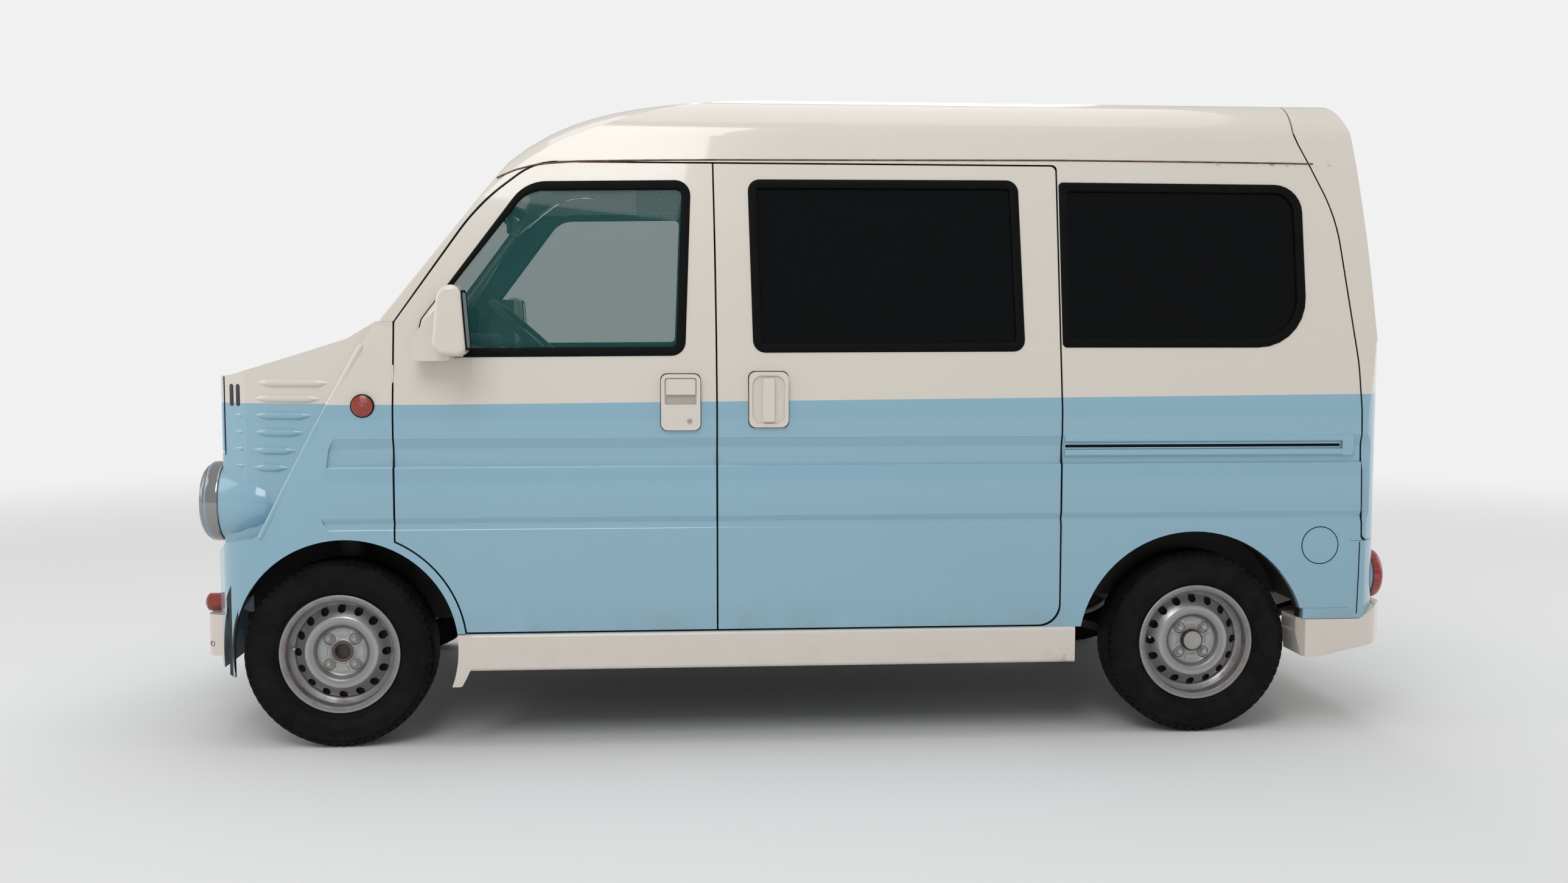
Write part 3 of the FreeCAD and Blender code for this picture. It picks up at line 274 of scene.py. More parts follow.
def cabin_side(made):
    """1 on the faces of the shell that line the cabin, 0 on its skin."""
    margin = 0.0125
    corner = 0.12
    reach = abs(made.y)
    width = WAIST_HALF - (made.z - WAIST).high(0.0) * SIDE_LEAN - reach
    rear = made.x + 1.690 - (reach - 0.08).high(0.0) * 0.0549 - (made.z - 1.13).high(0.0) * 0.13
    front = 1.2894 - (reach - 0.1).high(0.0) * 0.0865 - (made.z - 1.1).high(0.0) * 0.798 - made.x
    short = [(corner - depth).high(0.0) for depth in (width, rear, front)]
    away = (short[0] * short[0] + short[1] * short[1] + short[2] * short[2]).root()
    deep = away.ramp(corner - margin + 0.0005, corner - margin - 0.0005)
    top = made.z.ramp(1.62, 1.618).high(made.z.ramp(1.69, 1.688) * made.x.ramp(-1.45, -1.44))
    brow = 1.0 - made.z.ramp(1.555, 1.558) * made.x.ramp(0.50, 0.502)
    return deep * top * brow * made.x.ramp(1.139, 1.137) * made.z.ramp(0.33, 0.335)


def under_arch(made, centre, radius, reach=0.712):
    """1 inside the drum of a wheel arch, behind its edge, where the paint is darkened as painted shade."""
    across, up = made.x - centre[0], made.z - centre[1]
    far = (across * across + up * up).root()
    return far.ramp(radius + 0.0005, radius - 0.0005) * abs(made.y).ramp(reach + 0.0005, reach - 0.0005)


def trim_white(name):
    """Warm white gloss of the skirts, bumpers, handles and mirrors."""
    c = colours()
    made = Finish(name, c.white, 0.26, Coat_Weight=0.6, Coat_Roughness=0.05)
    low = made.z.ramp(0.34, 0.2) * made.noise(14.0, 6.0, 0.65).ramp(0.45, 0.8) * 0.14
    end_dirt = made.x.ramp(-0.65, -0.74) * made.x.ramp(-0.80, -0.78) * made.z.ramp(0.27, 0.22)
    end_dirt = end_dirt * made.noise(30.0, 5.0, 0.7).ramp(0.42, 0.62) * 0.7
    made.set("Base Color", made.blend(low.high(end_dirt), c.white, TRIM_DIRT))
    made.set("Roughness", 0.24 + low * 0.5)
    made.bump(made.noise(300.0, 1.0), 0.05, 0.0004)
    return made


def wheel_silver(name, axle_x):
    """Silver wheel paint with rust and brake grime, and painted shade darkening the well of the rim and the hollow
    round the hub.
    """
    c = colours()
    made = Finish(name, c.steel, 0.36, 0.6)
    across = made.x - axle_x
    up = made.z - sizes().tyre_radius
    radius = (across * across + up * up).root()
    grime = made.noise(26.0, 5.0, 0.7)
    well = radius.ramp(0.128, 0.142) * radius.ramp(0.168, 0.156)
    rust = (well * grime.ramp(0.46, 0.72)).high(radius.ramp(0.046, 0.032) * grime.ramp(0.42, 0.7))
    # Painted shade: darker in the hollow round the hub and in the well of the rim; the grime patches are real brake
    # dirt
    hub_hollow_shade = radius.ramp(0.096, 0.086) * radius.ramp(0.056, 0.07) * 0.45
    dust_and_shade = (grime.ramp(0.4, 0.8) * 0.35).high(hub_hollow_shade).high(well * 0.7)
    paint = made.blend(dust_and_shade, c.steel, darker(c.steel, 0.45))
    made.set("Base Color", made.blend(rust * 0.5, paint, c.rust))
    made.set("Metallic", 0.8 - rust * 0.7)
    made.set("Roughness", 0.28 + rust * 0.45 + dust_and_shade * 0.3)
    made.bump(grime, 0.12, 0.0006)
    return made


def chrome(name):
    """Chrome of the reflectors."""
    made = Finish(name, (0.82, 0.82, 0.82), 0.08, 1.0)
    made.set("Roughness", 0.05 + made.noise(30.0, 4.0).ramp(0.4, 0.9) * 0.14)
    made.bump(made.noise(60.0, 2.0), 0.03, 0.0004)
    return made


def glass(name, colour, alpha, ripple, shine=1.0, flutes=0.0):
    """Tinted glass, with flutes on a lamp's lens."""
    made = Finish(name, colour, 0.03, Alpha=alpha, IOR=1.5, Coat_Weight=0.6 * shine, Coat_Roughness=0.02)
    made.set("Specular IOR Level", 0.5 * shine)
    smear = made.noise(7.0, 4.0, 0.6).ramp(0.5, 0.9)
    made.set("Roughness", 0.02 + smear * 0.05)
    if flutes:
        made.bump(made.waves(flutes, "Y"), 0.5, 0.001)
    else:
        made.bump(made.noise(3.0, 1.0), ripple, 0.002)
    return made


def plastic(name, colour, roughness):
    """Grained plastic, a little worn."""
    made = Finish(name, colour, roughness)
    wear = made.noise(12.0, 4.0).ramp(0.4, 0.85)
    made.set("Base Color", made.blend(wear * 0.5, colour, tuple(min(1.0, k * 1.35 + 0.004) for k in colour)))
    made.set("Roughness", roughness - 0.06 + wear * 0.12)
    made.bump(made.cells(650.0), 0.35, 0.0004)
    return made


def worn(name, colour, stain, share, patches, roughness, gain, grain, metallic=0.0, specular=0.5):
    """Finish with patches of a stain. The colour may be the name of one of the van's colours.

    patches: scale, detail and roughness of the noise, and where its ramp starts and ends.
    grain: scale and detail of the bumps, their strength and their height.
    """
    colour = getattr(colours(), colour) if isinstance(colour, str) else colour
    made = Finish(name, colour, roughness, metallic, Specular_IOR_Level=specular)
    grime = made.noise(*patches[:3]).ramp(*patches[3:])
    made.set("Base Color", made.blend(grime * share, colour, stain))
    if metallic:
        made.set("Metallic", metallic - grime * share * metallic)
    made.set("Roughness", roughness + grime * gain)
    made.bump(made.noise(*grain[:2]), *grain[2:])
    return made


def metal(name, colour, roughness, share=0.5, metallic=0.7, stain=(0.12, 0.07, 0.045)):
    """Bare metal whose stains cover a share of it."""
    return worn(name, colour, stain, share, (11.0, 6.0, 0.65, 0.42, 0.72), roughness, 0.25, (140.0, 4.0, 0.3, 0.001),
                metallic)


def cabin_cloth(name):
    """Woven grey cloth of the seats."""
    made = Finish(name, (0.12, 0.125, 0.135), 0.9, Sheen_Weight=0.3, Sheen_Roughness=0.5)
    weave = made.waves(260.0, "Y") * made.waves(260.0, "Z") + made.waves(260.0, "X") * 0.5
    fade = made.noise(5.0, 4.0)
    made.set("Base Color", made.blend(weave * 0.5 + fade * 0.3, (0.075, 0.08, 0.09), (0.19, 0.195, 0.205)))
    made.bump(weave, 0.6, 0.0008)
    return made


def mesh_black(name):
    """Fine black mesh in the vents of the nose."""
    made = Finish(name, BLACK, 0.5)
    weave = (made.waves(150.0, "Z").ramp(0.4, 0.6)) * (made.waves(150.0, "X").ramp(0.4, 0.6))
    made.set("Base Color", made.blend(weave, (0.05, 0.05, 0.05), (0.004, 0.004, 0.004)))
    made.bump(weave, 1.0, 0.002)
    return made


def lens(name, colour, deep, roughness, coat, axis, ribs):
    """Ribbed coloured lens of a lamp."""
    made = Finish(name, colour, roughness, Coat_Weight=coat, Coat_Roughness=0.05)
    ribs = made.waves(ribs, axis)
    made.set("Base Color", made.blend(ribs, colour, deep))
    made.bump(ribs, 0.35, 0.001)
    return made


MAKERS = {
    "body_paint": (body_paint, (0.14, 0.15, 0.15)),
    "door_paint": (body_paint, (0.016, 0.016, 0.017)),
    "trim_white": (trim_white,),
    "seal_rubber": (worn, "rubber", (0.05, 0.047, 0.043), 0.05, (22.0, 4.0, 0.6, 0.45, 0.8), 0.5, 0.2,
                    (700.0, 2.0, 0.2, 0.0003), 0.0, 0.05),
    "tyre_rubber": (worn, "rubber", (0.06, 0.054, 0.048), 0.22, (16.0, 5.0, 0.65, 0.42, 0.85), 0.62, 0.25,
                    (500.0, 3.0, 0.25, 0.0004), 0.0, 0.1),
    "front_wheel_silver": (wheel_silver, FRONT_AXLE),
    "rear_wheel_silver": (wheel_silver, REAR_AXLE),
    "chrome": (chrome,),
    # Chrome darkened to a grey: painted reflection of dark surroundings on the lamp rings and sleeves
    "ring_chrome": (metal, (0.34, 0.34, 0.345), 0.1, 0.1, 1.0),
    "amber": (lens, (0.36, 0.034, 0.008), (0.18, 0.013, 0.004), 0.16, 0.7, "Z", 90.0),
    "red_lens": (lens, (0.42, 0.012, 0.016), (0.2, 0.004, 0.008), 0.14, 0.8, "Y", 80.0),
    "clear_glass": (glass, (0.018, 0.12, 0.112), 0.32, 0.0, 0.5),
    "screen_glass": (glass, (0.03, 0.07, 0.065), 0.34, 0.0, 0.6),
    "dark_glass": (glass, (0.0035, 0.004, 0.0045), 0.975, 0.05, 0.10),
    "lamp_glass": (glass, (0.78, 0.84, 0.86), 0.34, 0.05, 1.0, 32.0),
    "black_plastic": (plastic, (0.018, 0.018, 0.019), 0.5),
    "dash_plastic": (plastic, (0.085, 0.09, 0.095), 0.6),
    "chassis_black": (worn, BLACK, (0.10, 0.085, 0.068), 0.6, (7.0, 7.0, 0.68, 0.45, 0.75), 0.6, 0.3,
                      (90.0, 5.0, 0.5, 0.0015)),
    "tank_black": (plastic, (0.03, 0.03, 0.03), 0.55),
    "cast_iron": (metal, (0.14, 0.13, 0.125), 0.6, 0.8),
    "exhaust_steel": (metal, (0.26, 0.24, 0.22), 0.5, 0.7),
    "nut_steel": (metal, (0.45, 0.44, 0.42), 0.35, 0.35),
    "rusty_steel": (metal, (0.09, 0.045, 0.025), 0.7, 0.8, 0.3, (0.03, 0.016, 0.01)),
    # Drums near black: iron with painted shade, so the vents of the wheels show dark
    "drum_iron": (metal, (0.012, 0.0105, 0.01), 0.8, 0.5, 0.0, (0.03, 0.018, 0.012)),
    "cabin_cloth": (cabin_cloth,),
    "mesh_black": (mesh_black,),
    "seam_sealer": (worn, (0.035, 0.03, 0.027), (0.19, 0.08, 0.035), 1.0, (24.0, 5.0, 0.7, 0.42, 0.62), 0.75, 0.0,
                    (200.0, 3.0, 0.4, 0.0008)),
    "mirror_face": (metal, (0.86, 0.88, 0.9), 0.03, 0.05, 1.0),
    "headliner": (plastic, (0.46, 0.45, 0.42), 0.85),
    "door_trim": (plastic, (0.11, 0.115, 0.12), 0.65),
    "grey_shade": (plastic, (0.42, 0.39, 0.35), 0.5),
}

NODE_FINISHES = {
    "body_paint": ["body_side_left", "body_side_right", "roof", "nose", "rear_panel", "fuel_lid", "front_lid",
                   "tailgate"],
    "door_paint": ["front_door_left", "front_door_right", "sliding_door_left", "sliding_door_right"],
    "trim_white": ["bumpers_skirts", "slide_handles", "mirror_and_handle_left", "mirror_and_handle_right"],
    "chassis_black": ["underbody", "front_suspension", "rear_axle"],
    "ring_chrome": ["headlamp_rings"],
    "lamp_glass": ["headlamp_lenses"],
    "amber": ["indicators"],
    "red_lens": ["tail_lamps"],
    "clear_glass": ["door_glass_left", "door_glass_right"],
    "screen_glass": ["windscreen"],
    "dark_glass": ["side_glass", "tailgate_glass"],
    "black_plastic": ["wipers", "steering_wheel"],
    "dash_plastic": ["dashboard"],
    "cabin_cloth": ["seats"],
    "cast_iron": ["engine", "knuckle_left", "knuckle_right"],
    "exhaust_steel": ["exhaust"],
    "tank_black": ["fuel_tank"],
    "front_wheel_silver": ["front_wheel_left", "front_wheel_right"],
    "rear_wheel_silver": ["rear_wheel_left", "rear_wheel_right"],
    "tyre_rubber": ["front_tyre_left", "front_tyre_right", "rear_tyre_left", "rear_tyre_right"],
}

# Modelling helpers


def clear():
    """Leaves edit mode and selects nothing."""
    if bpy.context.object and bpy.context.object.mode != "OBJECT":
        bpy.ops.object.mode_set(mode="OBJECT")
    bpy.ops.object.select_all(action="DESELECT")


def only(piece):
    """Selects one piece and makes it active."""
    clear()
    piece.select_set(True)
    bpy.context.view_layer.objects.active = piece


def rounded(corners, steps=7):
    """Outline points of a polygon whose corners (across, up, radius) are rounded."""
    points = []
    count = len(corners)
    for index, (x, z, radius) in enumerate(corners):
        here = Vector((x, z))
        before = (Vector(corners[index - 1][:2]) - here).normalized()
        after = (Vector(corners[(index + 1) % count][:2]) - here).normalized()
        half = before.angle(after) / 2
        if radius <= 0 or half > 1.55:
            points.append(here)
            continue
        reach = radius / math.tan(half)
        centre = here + (before + after).normalized() * (radius / math.sin(half))
        first = here + before * reach - centre
        last = here + after * reach - centre
        turn = first.angle_signed(last)
        for step in range(steps + 1):
            points.append(centre + (Matrix.Rotation(-turn * step / steps, 2) @ first))
    return points


def side_plane(z):
    """Half width of the skin at a height above the waist."""
    return WAIST_HALF - (z - WAIST) * SIDE_LEAN


def screen_front(y, z):
    """How far forward the skin round the windscreen lies."""
    reach = abs(y)
    crown = y * y / 5.2 if reach < 0.2223 else 0.0095 + 0.0865 * (reach - 0.2223)
    return 1.2884 - crown - 0.798 * (z - 1.1)


def tail_back(y, z):
    """How far back the tailgate's skin lies."""
    reach = abs(y)
    crown = y * y / 8.0 if reach < 0.2196 else 0.0549 * reach - 0.00603
    return -1.688 + crown + 0.13 * max(0.0, z - 1.13)


def face_mesh(name, points, fill_type="NGON"):
    """Flat face, or with fill_type NOTHING a closed loop of edges, through points."""
    clear()
    bpy.ops.mesh.primitive_circle_add(vertices=len(points), radius=0.1, fill_type=fill_type)
    piece = bpy.context.object
    piece.name = name
    for vertex, point in zip(piece.data.vertices, points):
        vertex.co = point
    return piece


def edit(piece):
    """Opens a piece in edit mode with all of it selected."""
    only(piece)
    bpy.ops.object.mode_set(mode="EDIT")
    bpy.ops.mesh.select_all(action="SELECT")


def leave():
    """Back to object mode."""
    bpy.ops.object.mode_set(mode="OBJECT")


def modifier(piece, kind, **settings):
    """Adds a modifier and applies it."""
    only(piece)
    made = piece.modifiers.new("step", kind)
    for name, value in settings.items():
        setattr(made, name, value)
    bpy.ops.object.modifier_apply(modifier=made.name)


def settle(piece, body, slot, material, smooth=35.0):
    """Puts a finished piece on its body, its place kept in its mesh."""
    only(piece)
    bpy.ops.object.transform_apply(location=True, rotation=True, scale=True)
    if smooth:
        bpy.ops.object.shade_smooth_by_angle(angle=math.radians(smooth))
    piece.data.materials.clear()
    piece.data.materials.append(finish(material))
    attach(piece, body)


def settle_pair(left, body, slot, material, smooth=35.0):
    """Settles a left piece and its mirror image. A body that ends in _ gets the side's name."""
    right = mirrored(left, left.name.replace("left", "right"))
    for piece, side in ((left, "left"), (right, "right")):
        settle(piece, body + side if body.endswith("_") else body, slot, material, smooth)


def unite(name, pieces):
    """Joins pieces into one."""
    clear()
    for piece in pieces:
        piece.select_set(True)
    bpy.context.view_layer.objects.active = pieces[0]
    if len(pieces) > 1:
        bpy.ops.object.join()
    pieces[0].name = name
    return pieces[0]


def outward(piece):
    """Merges what lies together and turns every face outwards."""
    edit(piece)
    bpy.ops.mesh.remove_doubles(threshold=MERGE_GAP)
    bpy.ops.mesh.normals_make_consistent(inside=False)
    leave()


def plate(name, points, thickness, bevel=0.0):
    """Thin plate through points, thickened on both sides, its edges rounded."""
    piece = face_mesh(name, points)
    modifier(piece, "SOLIDIFY", thickness=thickness, offset=0.0)
    if bevel:
        modifier(piece, "BEVEL", width=bevel, segments=2, limit_method="ANGLE", angle_limit=SHARP_EDGE)
    outward(piece)
    return piece


def on_side(outline, surface, proud):
    """Outline points (along, up) laid on the left side, proud of a surface."""
    return [Vector((x, surface(z) + proud, z)) for x, z in outline]


def block(name, low, high, bevel=0.002, segments=2):
    """Box between two corners with rounded edges."""
    low, high = Vector(low), Vector(high)
    clear()
    bpy.ops.mesh.primitive_cube_add(size=1, location=(low + high) / 2)
    piece = bpy.context.object
    piece.name = name
    piece.scale = high - low
    bpy.ops.object.transform_apply(location=True, rotation=True, scale=True)
    edit(piece)
    bpy.ops.mesh.bevel(offset=bevel, segments=segments, affect="EDGES", clamp_overlap=True)
    leave()
    return piece


def side_block(name, side, along, out, up, bevel, segments=1):
    """Box on one side of the van from its ranges along, outwards and up."""
    near, far = sorted((side * out[0], side * out[1]))
    return block(name, (along[0], near, up[0]), (along[1], far, up[1]), bevel, segments)


def spun(name, profile, centre, axis, steps=48):
    """Closed ring turned from a profile of (radius, along) points about an axis through a centre."""
    axis = Vector(axis).normalized()
    side = Vector((0, 0, 1)) if abs(axis.z) < 0.5 else Vector((1, 0, 0))
    centre = Vector(centre)
    points = [centre + side * r + axis * a for r, a in profile]
    piece = face_mesh(name, points)
    edit(piece)
    bpy.ops.mesh.delete(type="ONLY_FACE")
    bpy.ops.mesh.select_all(action="SELECT")
    bpy.ops.mesh.spin(steps=steps, angle=2 * math.pi, center=centre, axis=axis, use_auto_merge=False)
    bpy.ops.mesh.select_all(action="SELECT")
    bpy.ops.mesh.remove_doubles(threshold=MERGE_GAP)
    bpy.ops.mesh.dissolve_degenerate(threshold=0.00001)
    bpy.ops.mesh.select_all(action="SELECT")
    bpy.ops.mesh.normals_make_consistent(inside=False)
    leave()
    return piece


def wire(name, points, radius, sides=4):
    """Round wire through points."""
    piece = face_mesh(name, points)
    edit(piece)
    bpy.ops.mesh.delete(type="ONLY_FACE")
    bpy.ops.mesh.select_all(action="DESELECT")
    leave()
    last = len(points) - 1
    for edge in piece.data.edges:
        edge.select = set(edge.vertices) == {0, last}
    bpy.ops.object.mode_set(mode="EDIT")
    bpy.ops.mesh.select_mode(type="EDGE")
    bpy.ops.mesh.delete(type="EDGE_FACE")
    bpy.ops.mesh.select_mode(type="VERT")
    leave()
    only(piece)
    bpy.ops.object.convert(target="CURVE")
    piece = bpy.context.object
    piece.data.bevel_depth = radius
    piece.data.bevel_resolution = sides
    piece.data.use_fill_caps = True
    bpy.ops.object.convert(target="MESH")
    piece = bpy.context.object
    piece.name = name
    return piece


def copied(piece, name):
    """Copy of a piece."""
    only(piece)
    bpy.ops.object.duplicate(linked=False)
    made = bpy.context.object
    made.name = name
    return made


def mirrored(piece, name):
    """Copy on the other side of the van."""
    made = copied(piece, name)
    for vertex in made.data.vertices:
        vertex.co.y = -vertex.co.y
    outward(made)
    return made


def rim_ring(name, outer, inner, thickness, round_off=0.3):
    """Flat ring between two loops of as many points, thickened on both sides and rounded."""
    piece = unite(name, [face_mesh(name, outer, "NOTHING"), face_mesh("inner", inner, "NOTHING")])
    edit(piece)
    bpy.ops.mesh.bridge_edge_loops()
    leave()
    modifier(piece, "SOLIDIFY", thickness=thickness, offset=0.0)
    width = min((first - second).length for first, second in zip(outer, inner))
    modifier(piece, "BEVEL", width=min(thickness, width) * round_off, segments=2, limit_method="ANGLE",
             angle_limit=math.radians(50))
    outward(piece)
    return piece


def grown(corners, step):
    """Window outline grown by a step about its middle."""
    xs = [x for x, z, r in corners]
    zs = [z for x, z, r in corners]
    middle = ((min(xs) + max(xs)) / 2, (min(zs) + max(zs)) / 2)
    half = ((max(xs) - min(xs)) / 2, (max(zs) - min(zs)) / 2)
    return [(middle[0] + (x - middle[0]) * (1 + step / half[0]), middle[1] + (z - middle[1]) * (1 + step / half[1]),
             max(r + step, 0.004)) for x, z, r in corners]


def filled_in(outer, inner, reach):
    """Both loops with points added along their long straight stretches, as many in each."""
    loops = ([], [])
    for index, start in enumerate(outer):
        end = (index + 1) % len(outer)
        parts = max(1, round((outer[end] - start).length / reach))
        for loop, points in zip(loops, (outer, inner)):
            loop += [points[index].lerp(points[end], k / parts) for k in range(parts)]
    return loops


SIDE_WINDOWS = {
    "front": [(0.345, 1.088, 0.035), (1.078, 1.083, 0.03), (1.058, 1.184, 0.025), (0.778, 1.56, 0.11),
              (0.327, 1.567, 0.038)],
    "slide": [(-0.608, 1.099, 0.028), (0.148, 1.096, 0.03), (0.16, 1.57, 0.028), (-0.598, 1.573, 0.03)],
    "quarter": [(-0.724, 1.11, 0.008), (-1.424, 1.11, 0.14), (-1.424, 1.566, 0.075), (-0.724, 1.568, 0.008)],
}

# Profiles of turned pieces, as (radius, along) points

LAMP_BOWL = [(0.0, 0.0004), (0.0835, 0.0004), (0.0835, 0.0075), (0.078, 0.0075), (0.060, 0.004), (0.030, 0.0016),
             (0.0, 0.0012)]
LAMP_BULB = [(0.0, 0.001), (0.017, 0.001), (0.017, 0.0125), (0.012, 0.0155), (0.0, 0.0165)]
LAMP_SLEEVE = [(0.1083, 0.0), (0.1132, 0.0), (0.1144, 0.0025), (0.1138, 0.0060), (0.1134, 0.0180), (0.1128, 0.0310),
               (0.1098, 0.0355), (0.1083, 0.0355)]
TAIL_BEZEL = [(0.0660, -0.0250), (0.0716, -0.0250), (0.0718, -0.0225), (0.0660, -0.0225)]
TAIL_DOME = [(0.0660, -0.0225), (0.0712, -0.0225), (0.0710, -0.0060), (0.0690, 0.0015), (0.0640, 0.0065),
             (0.0520, 0.0110), (0.0400, 0.0138), (0.0200, 0.0160), (0.0, 0.0166)]
MARKER_RING = [(0.0285, 0.0), (0.0325, 0.0), (0.032, 0.0035), (0.030, 0.005)]
WASHER = [(0.004, -0.008), (0.0135, -0.008), (0.0125, -0.0045), (0.004, -0.0045)]
HUB_EDGE = [(0.0302, -0.001), (0.0350, -0.001), (0.0350, 0.0006), (0.0330, 0.0020), (0.0302, 0.0012)]
FLANGE_EDGE = [(0.0640, -0.001), (0.0680, -0.001), (0.0680, 0.0028), (0.0660, 0.0022), (0.0640, 0.0004)]
NUT_RING = [(0.0142, -0.001), (0.0172, -0.001), (0.0172, 0.0008), (0.0157, 0.0024), (0.0142, 0.0010)]
HUB_CAP = [(0.0, 0.008), (0.0285, 0.008), (0.0285, 0.026), (0.026, 0.030), (0.018, 0.032), (0.0, 0.0325)]
DRUM = [(0.026, -0.045), (0.128, -0.045), (0.134, -0.040), (0.134, -0.008), (0.128, -0.002), (0.080, 0.001),
        (0.026, 0.001)]
SCREW_HEAD = [(0.0, -0.002), (0.0078, -0.002), (0.0078, 0.0006), (0.0066, 0.0014), (0.0052, 0.0004), (0.0, 0.0002)]
LOCK = [(0.0, -0.001), (0.0066, -0.001), (0.0066, 0.0008), (0.0054, 0.0014), (0.0046, 0.0006), (0.0, 0.0006)]
VENT = [(0.0, -0.004), (0.034, -0.004), (0.034, 0.006), (0.029, 0.008), (0.027, 0.003), (0.0, 0.003)]
FUEL_GAP = [(0.0520, -0.0006), (0.0542, -0.0006), (0.0542, 0.0004), (0.0520, 0.0004)]

# Operators


class VAN_OT_paint(bpy.types.Operator):
    """Gives every solid its finish."""

    bl_idname = "van.paint"
    bl_label = "Finishes"

    def execute(self, context):
        for name, nodes in NODE_FINISHES.items():
            for node in nodes:
                owner = NODES[node]
                if not owner.material_slots:
                    owner.data.materials.append(finish(name))
                for place in owner.material_slots:
                    place.material = finish(name)
        return {"FINISHED"}


class VAN_OT_seals(bpy.types.Operator):
    """Fits the rubbers round the side windows."""

    bl_idname = "van.seals"
    bl_label = "Window rubbers"

    def execute(self, context):
        s = sizes()
        thick = RUBBER_SUNK + s.seal_proud
        for window, corners in SIDE_WINDOWS.items():
            loops = [on_side(rounded(grown(corners, step)), side_plane, s.seal_proud - thick / 2)
                     for step in (0.005, -s.seal_width)]
            settle_pair(rim_ring("rubber_" + window + "_left", *loops, thick),
                        "door_" if window == "front" else "body", *SEAL)
        return {"FINISHED"}


class VAN_OT_screen_seals(bpy.types.Operator):
    """Fits the rubbers of the windscreen and the tailgate's glass."""

    bl_idname = "van.screen_seals"
    bl_label = "Windscreen and tail rubbers"

    def execute(self, context):
        for name, surface, body, radius, (low, low_half), (high, high_half), top_radius in (
            ("rubber_windscreen", screen_front, "body", 0.075, (1.190, 0.622), (1.565, 0.552), 0.065),
            ("rubber_tailgate", tail_back, "tail_door", 0.075, (1.120, 0.565), (1.60, 0.515), 0.075),
        ):
            corners = [(-low_half, low, radius), (low_half, low, radius), (high_half, high, top_radius),
                       (-high_half, high, top_radius)]
            loops = filled_in(rounded(corners), rounded(grown(corners, -0.026)), 0.06)
            piece = rim_ring(name, *([Vector((0, p.x, p.y)) for p in loop] for loop in loops), 0.007)
            for vertex in piece.data.vertices:
                vertex.co.x += surface(vertex.co.y, vertex.co.z)
            settle(piece, body, *SEAL)
        return {"FINISHED"}


TYRE_PLACES = [(end + "_tyre_" + name, "wheel_" + end + "_" + name, x, side * y)
               for end, x, y in (("front", FRONT_AXLE, 0.64), ("rear", REAR_AXLE, 0.645)) for side, name in SIDES]


def tyre(name, x, y):
    """Tyre with grooved tread, ringed walls and shoulder blocks."""
    s = sizes()
    outer = s.tyre_radius
    deep = outer - s.groove_depth
    half = 0.0725
    tread = []
    for start, end in ((-0.050, -0.0305), (-0.0255, -0.0025), (0.0025, 0.0255), (0.0305, 0.050)):
        tread += [(outer - 0.0008 * abs(start + end) * 20, start), (outer - 0.0008 * abs(start + end) * 20, end)]
        if end < 0.05:
            tread += [(deep, end + 0.0008), (deep, end + 0.0042)]
    profile = [(0.1545, -0.046), (0.1545, -0.020), (0.1545, 0.020), (0.1545, 0.046)]
    wall = [(0.168, 0.0505), (0.172, 0.0560), (0.178, 0.0610), (0.1795, 0.0640), (0.1825, 0.0640), (0.184, 0.0655),
            (0.196, 0.0700), (0.205, half - 0.0004), (0.207, half + 0.0002), (0.209, half - 0.0004),
            (0.222, 0.0715), (0.234, 0.0685), (0.236, 0.0690), (0.238, 0.0672), (0.248, 0.0625), (deep - 0.001, 0.0572),
            (deep + 0.0002, 0.0505)]
    profile += wall + [(r, a) for r, a in reversed(tread)] + [(r, -a) for r, a in reversed(wall)]
    body = spun(name, profile, (x, y, outer), (0, 1, 0), 72)
    lugs = []
    base = block(name + "_lug", (-0.0085, -0.0090, -0.0055), (0.0085, 0.0090, 0.0055), 0.0012, 1)
    for side in (1, -1):
        for index in range(s.lug_count):
            lug = copied(base, name + "_lug_copy")
            turn = 2 * math.pi * (index + 0.25 * side) / s.lug_count
            place = Matrix.Translation((x, y, outer)) @ Matrix.Rotation(turn, 4, "Y")
            place @= Matrix.Translation((0, side * 0.0555, deep - 0.0030)) @ Matrix.Rotation(-side * 0.42, 4, "X")
            lug.data.transform(place)
            lugs.append(lug)
    bpy.data.objects.remove(base)
    return unite(name, [body] + lugs)


class VAN_OT_tyres(bpy.types.Operator):
    """Fits the four tyres."""

    bl_idname = "van.tyres"
    bl_label = "Tyres"

    def execute(self, context):
        first = tyre("tread_first", 0.0, 0.0)
        for node, body, x, y in TYRE_PLACES:
            piece = copied(first, "tread_" + node)
            piece.data.transform(Matrix.Translation((x, y, 0)))
            settle(piece, body, "tyre", "tyre_rubber", 40.0)
            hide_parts(node)
        bpy.data.objects.remove(first)
        return {"FINISHED"}


def nut(size):
    """Domed six-sided wheel nut that points along +Y."""
    clear()
    bpy.ops.mesh.primitive_cylinder_add(vertices=6, radius=size / math.sqrt(3), depth=0.016,
                                        rotation=(math.pi / 2, 0, 0))
    piece = bpy.context.object
    bpy.ops.object.transform_apply(location=True, rotation=True, scale=True)
    edit(piece)
    bpy.ops.mesh.bevel(offset=0.0012, segments=2, affect="EDGES")
    leave()
    clear()
    bpy.ops.mesh.primitive_uv_sphere_add(segments=18, ring_count=10, radius=0.0085, location=(0, 0.0065, 0))
    cap = bpy.context.object
    washer = spun("washer", WASHER, (0, 0, 0), (0, 1, 0), 18)
    return unite("nut", [piece, cap, washer])


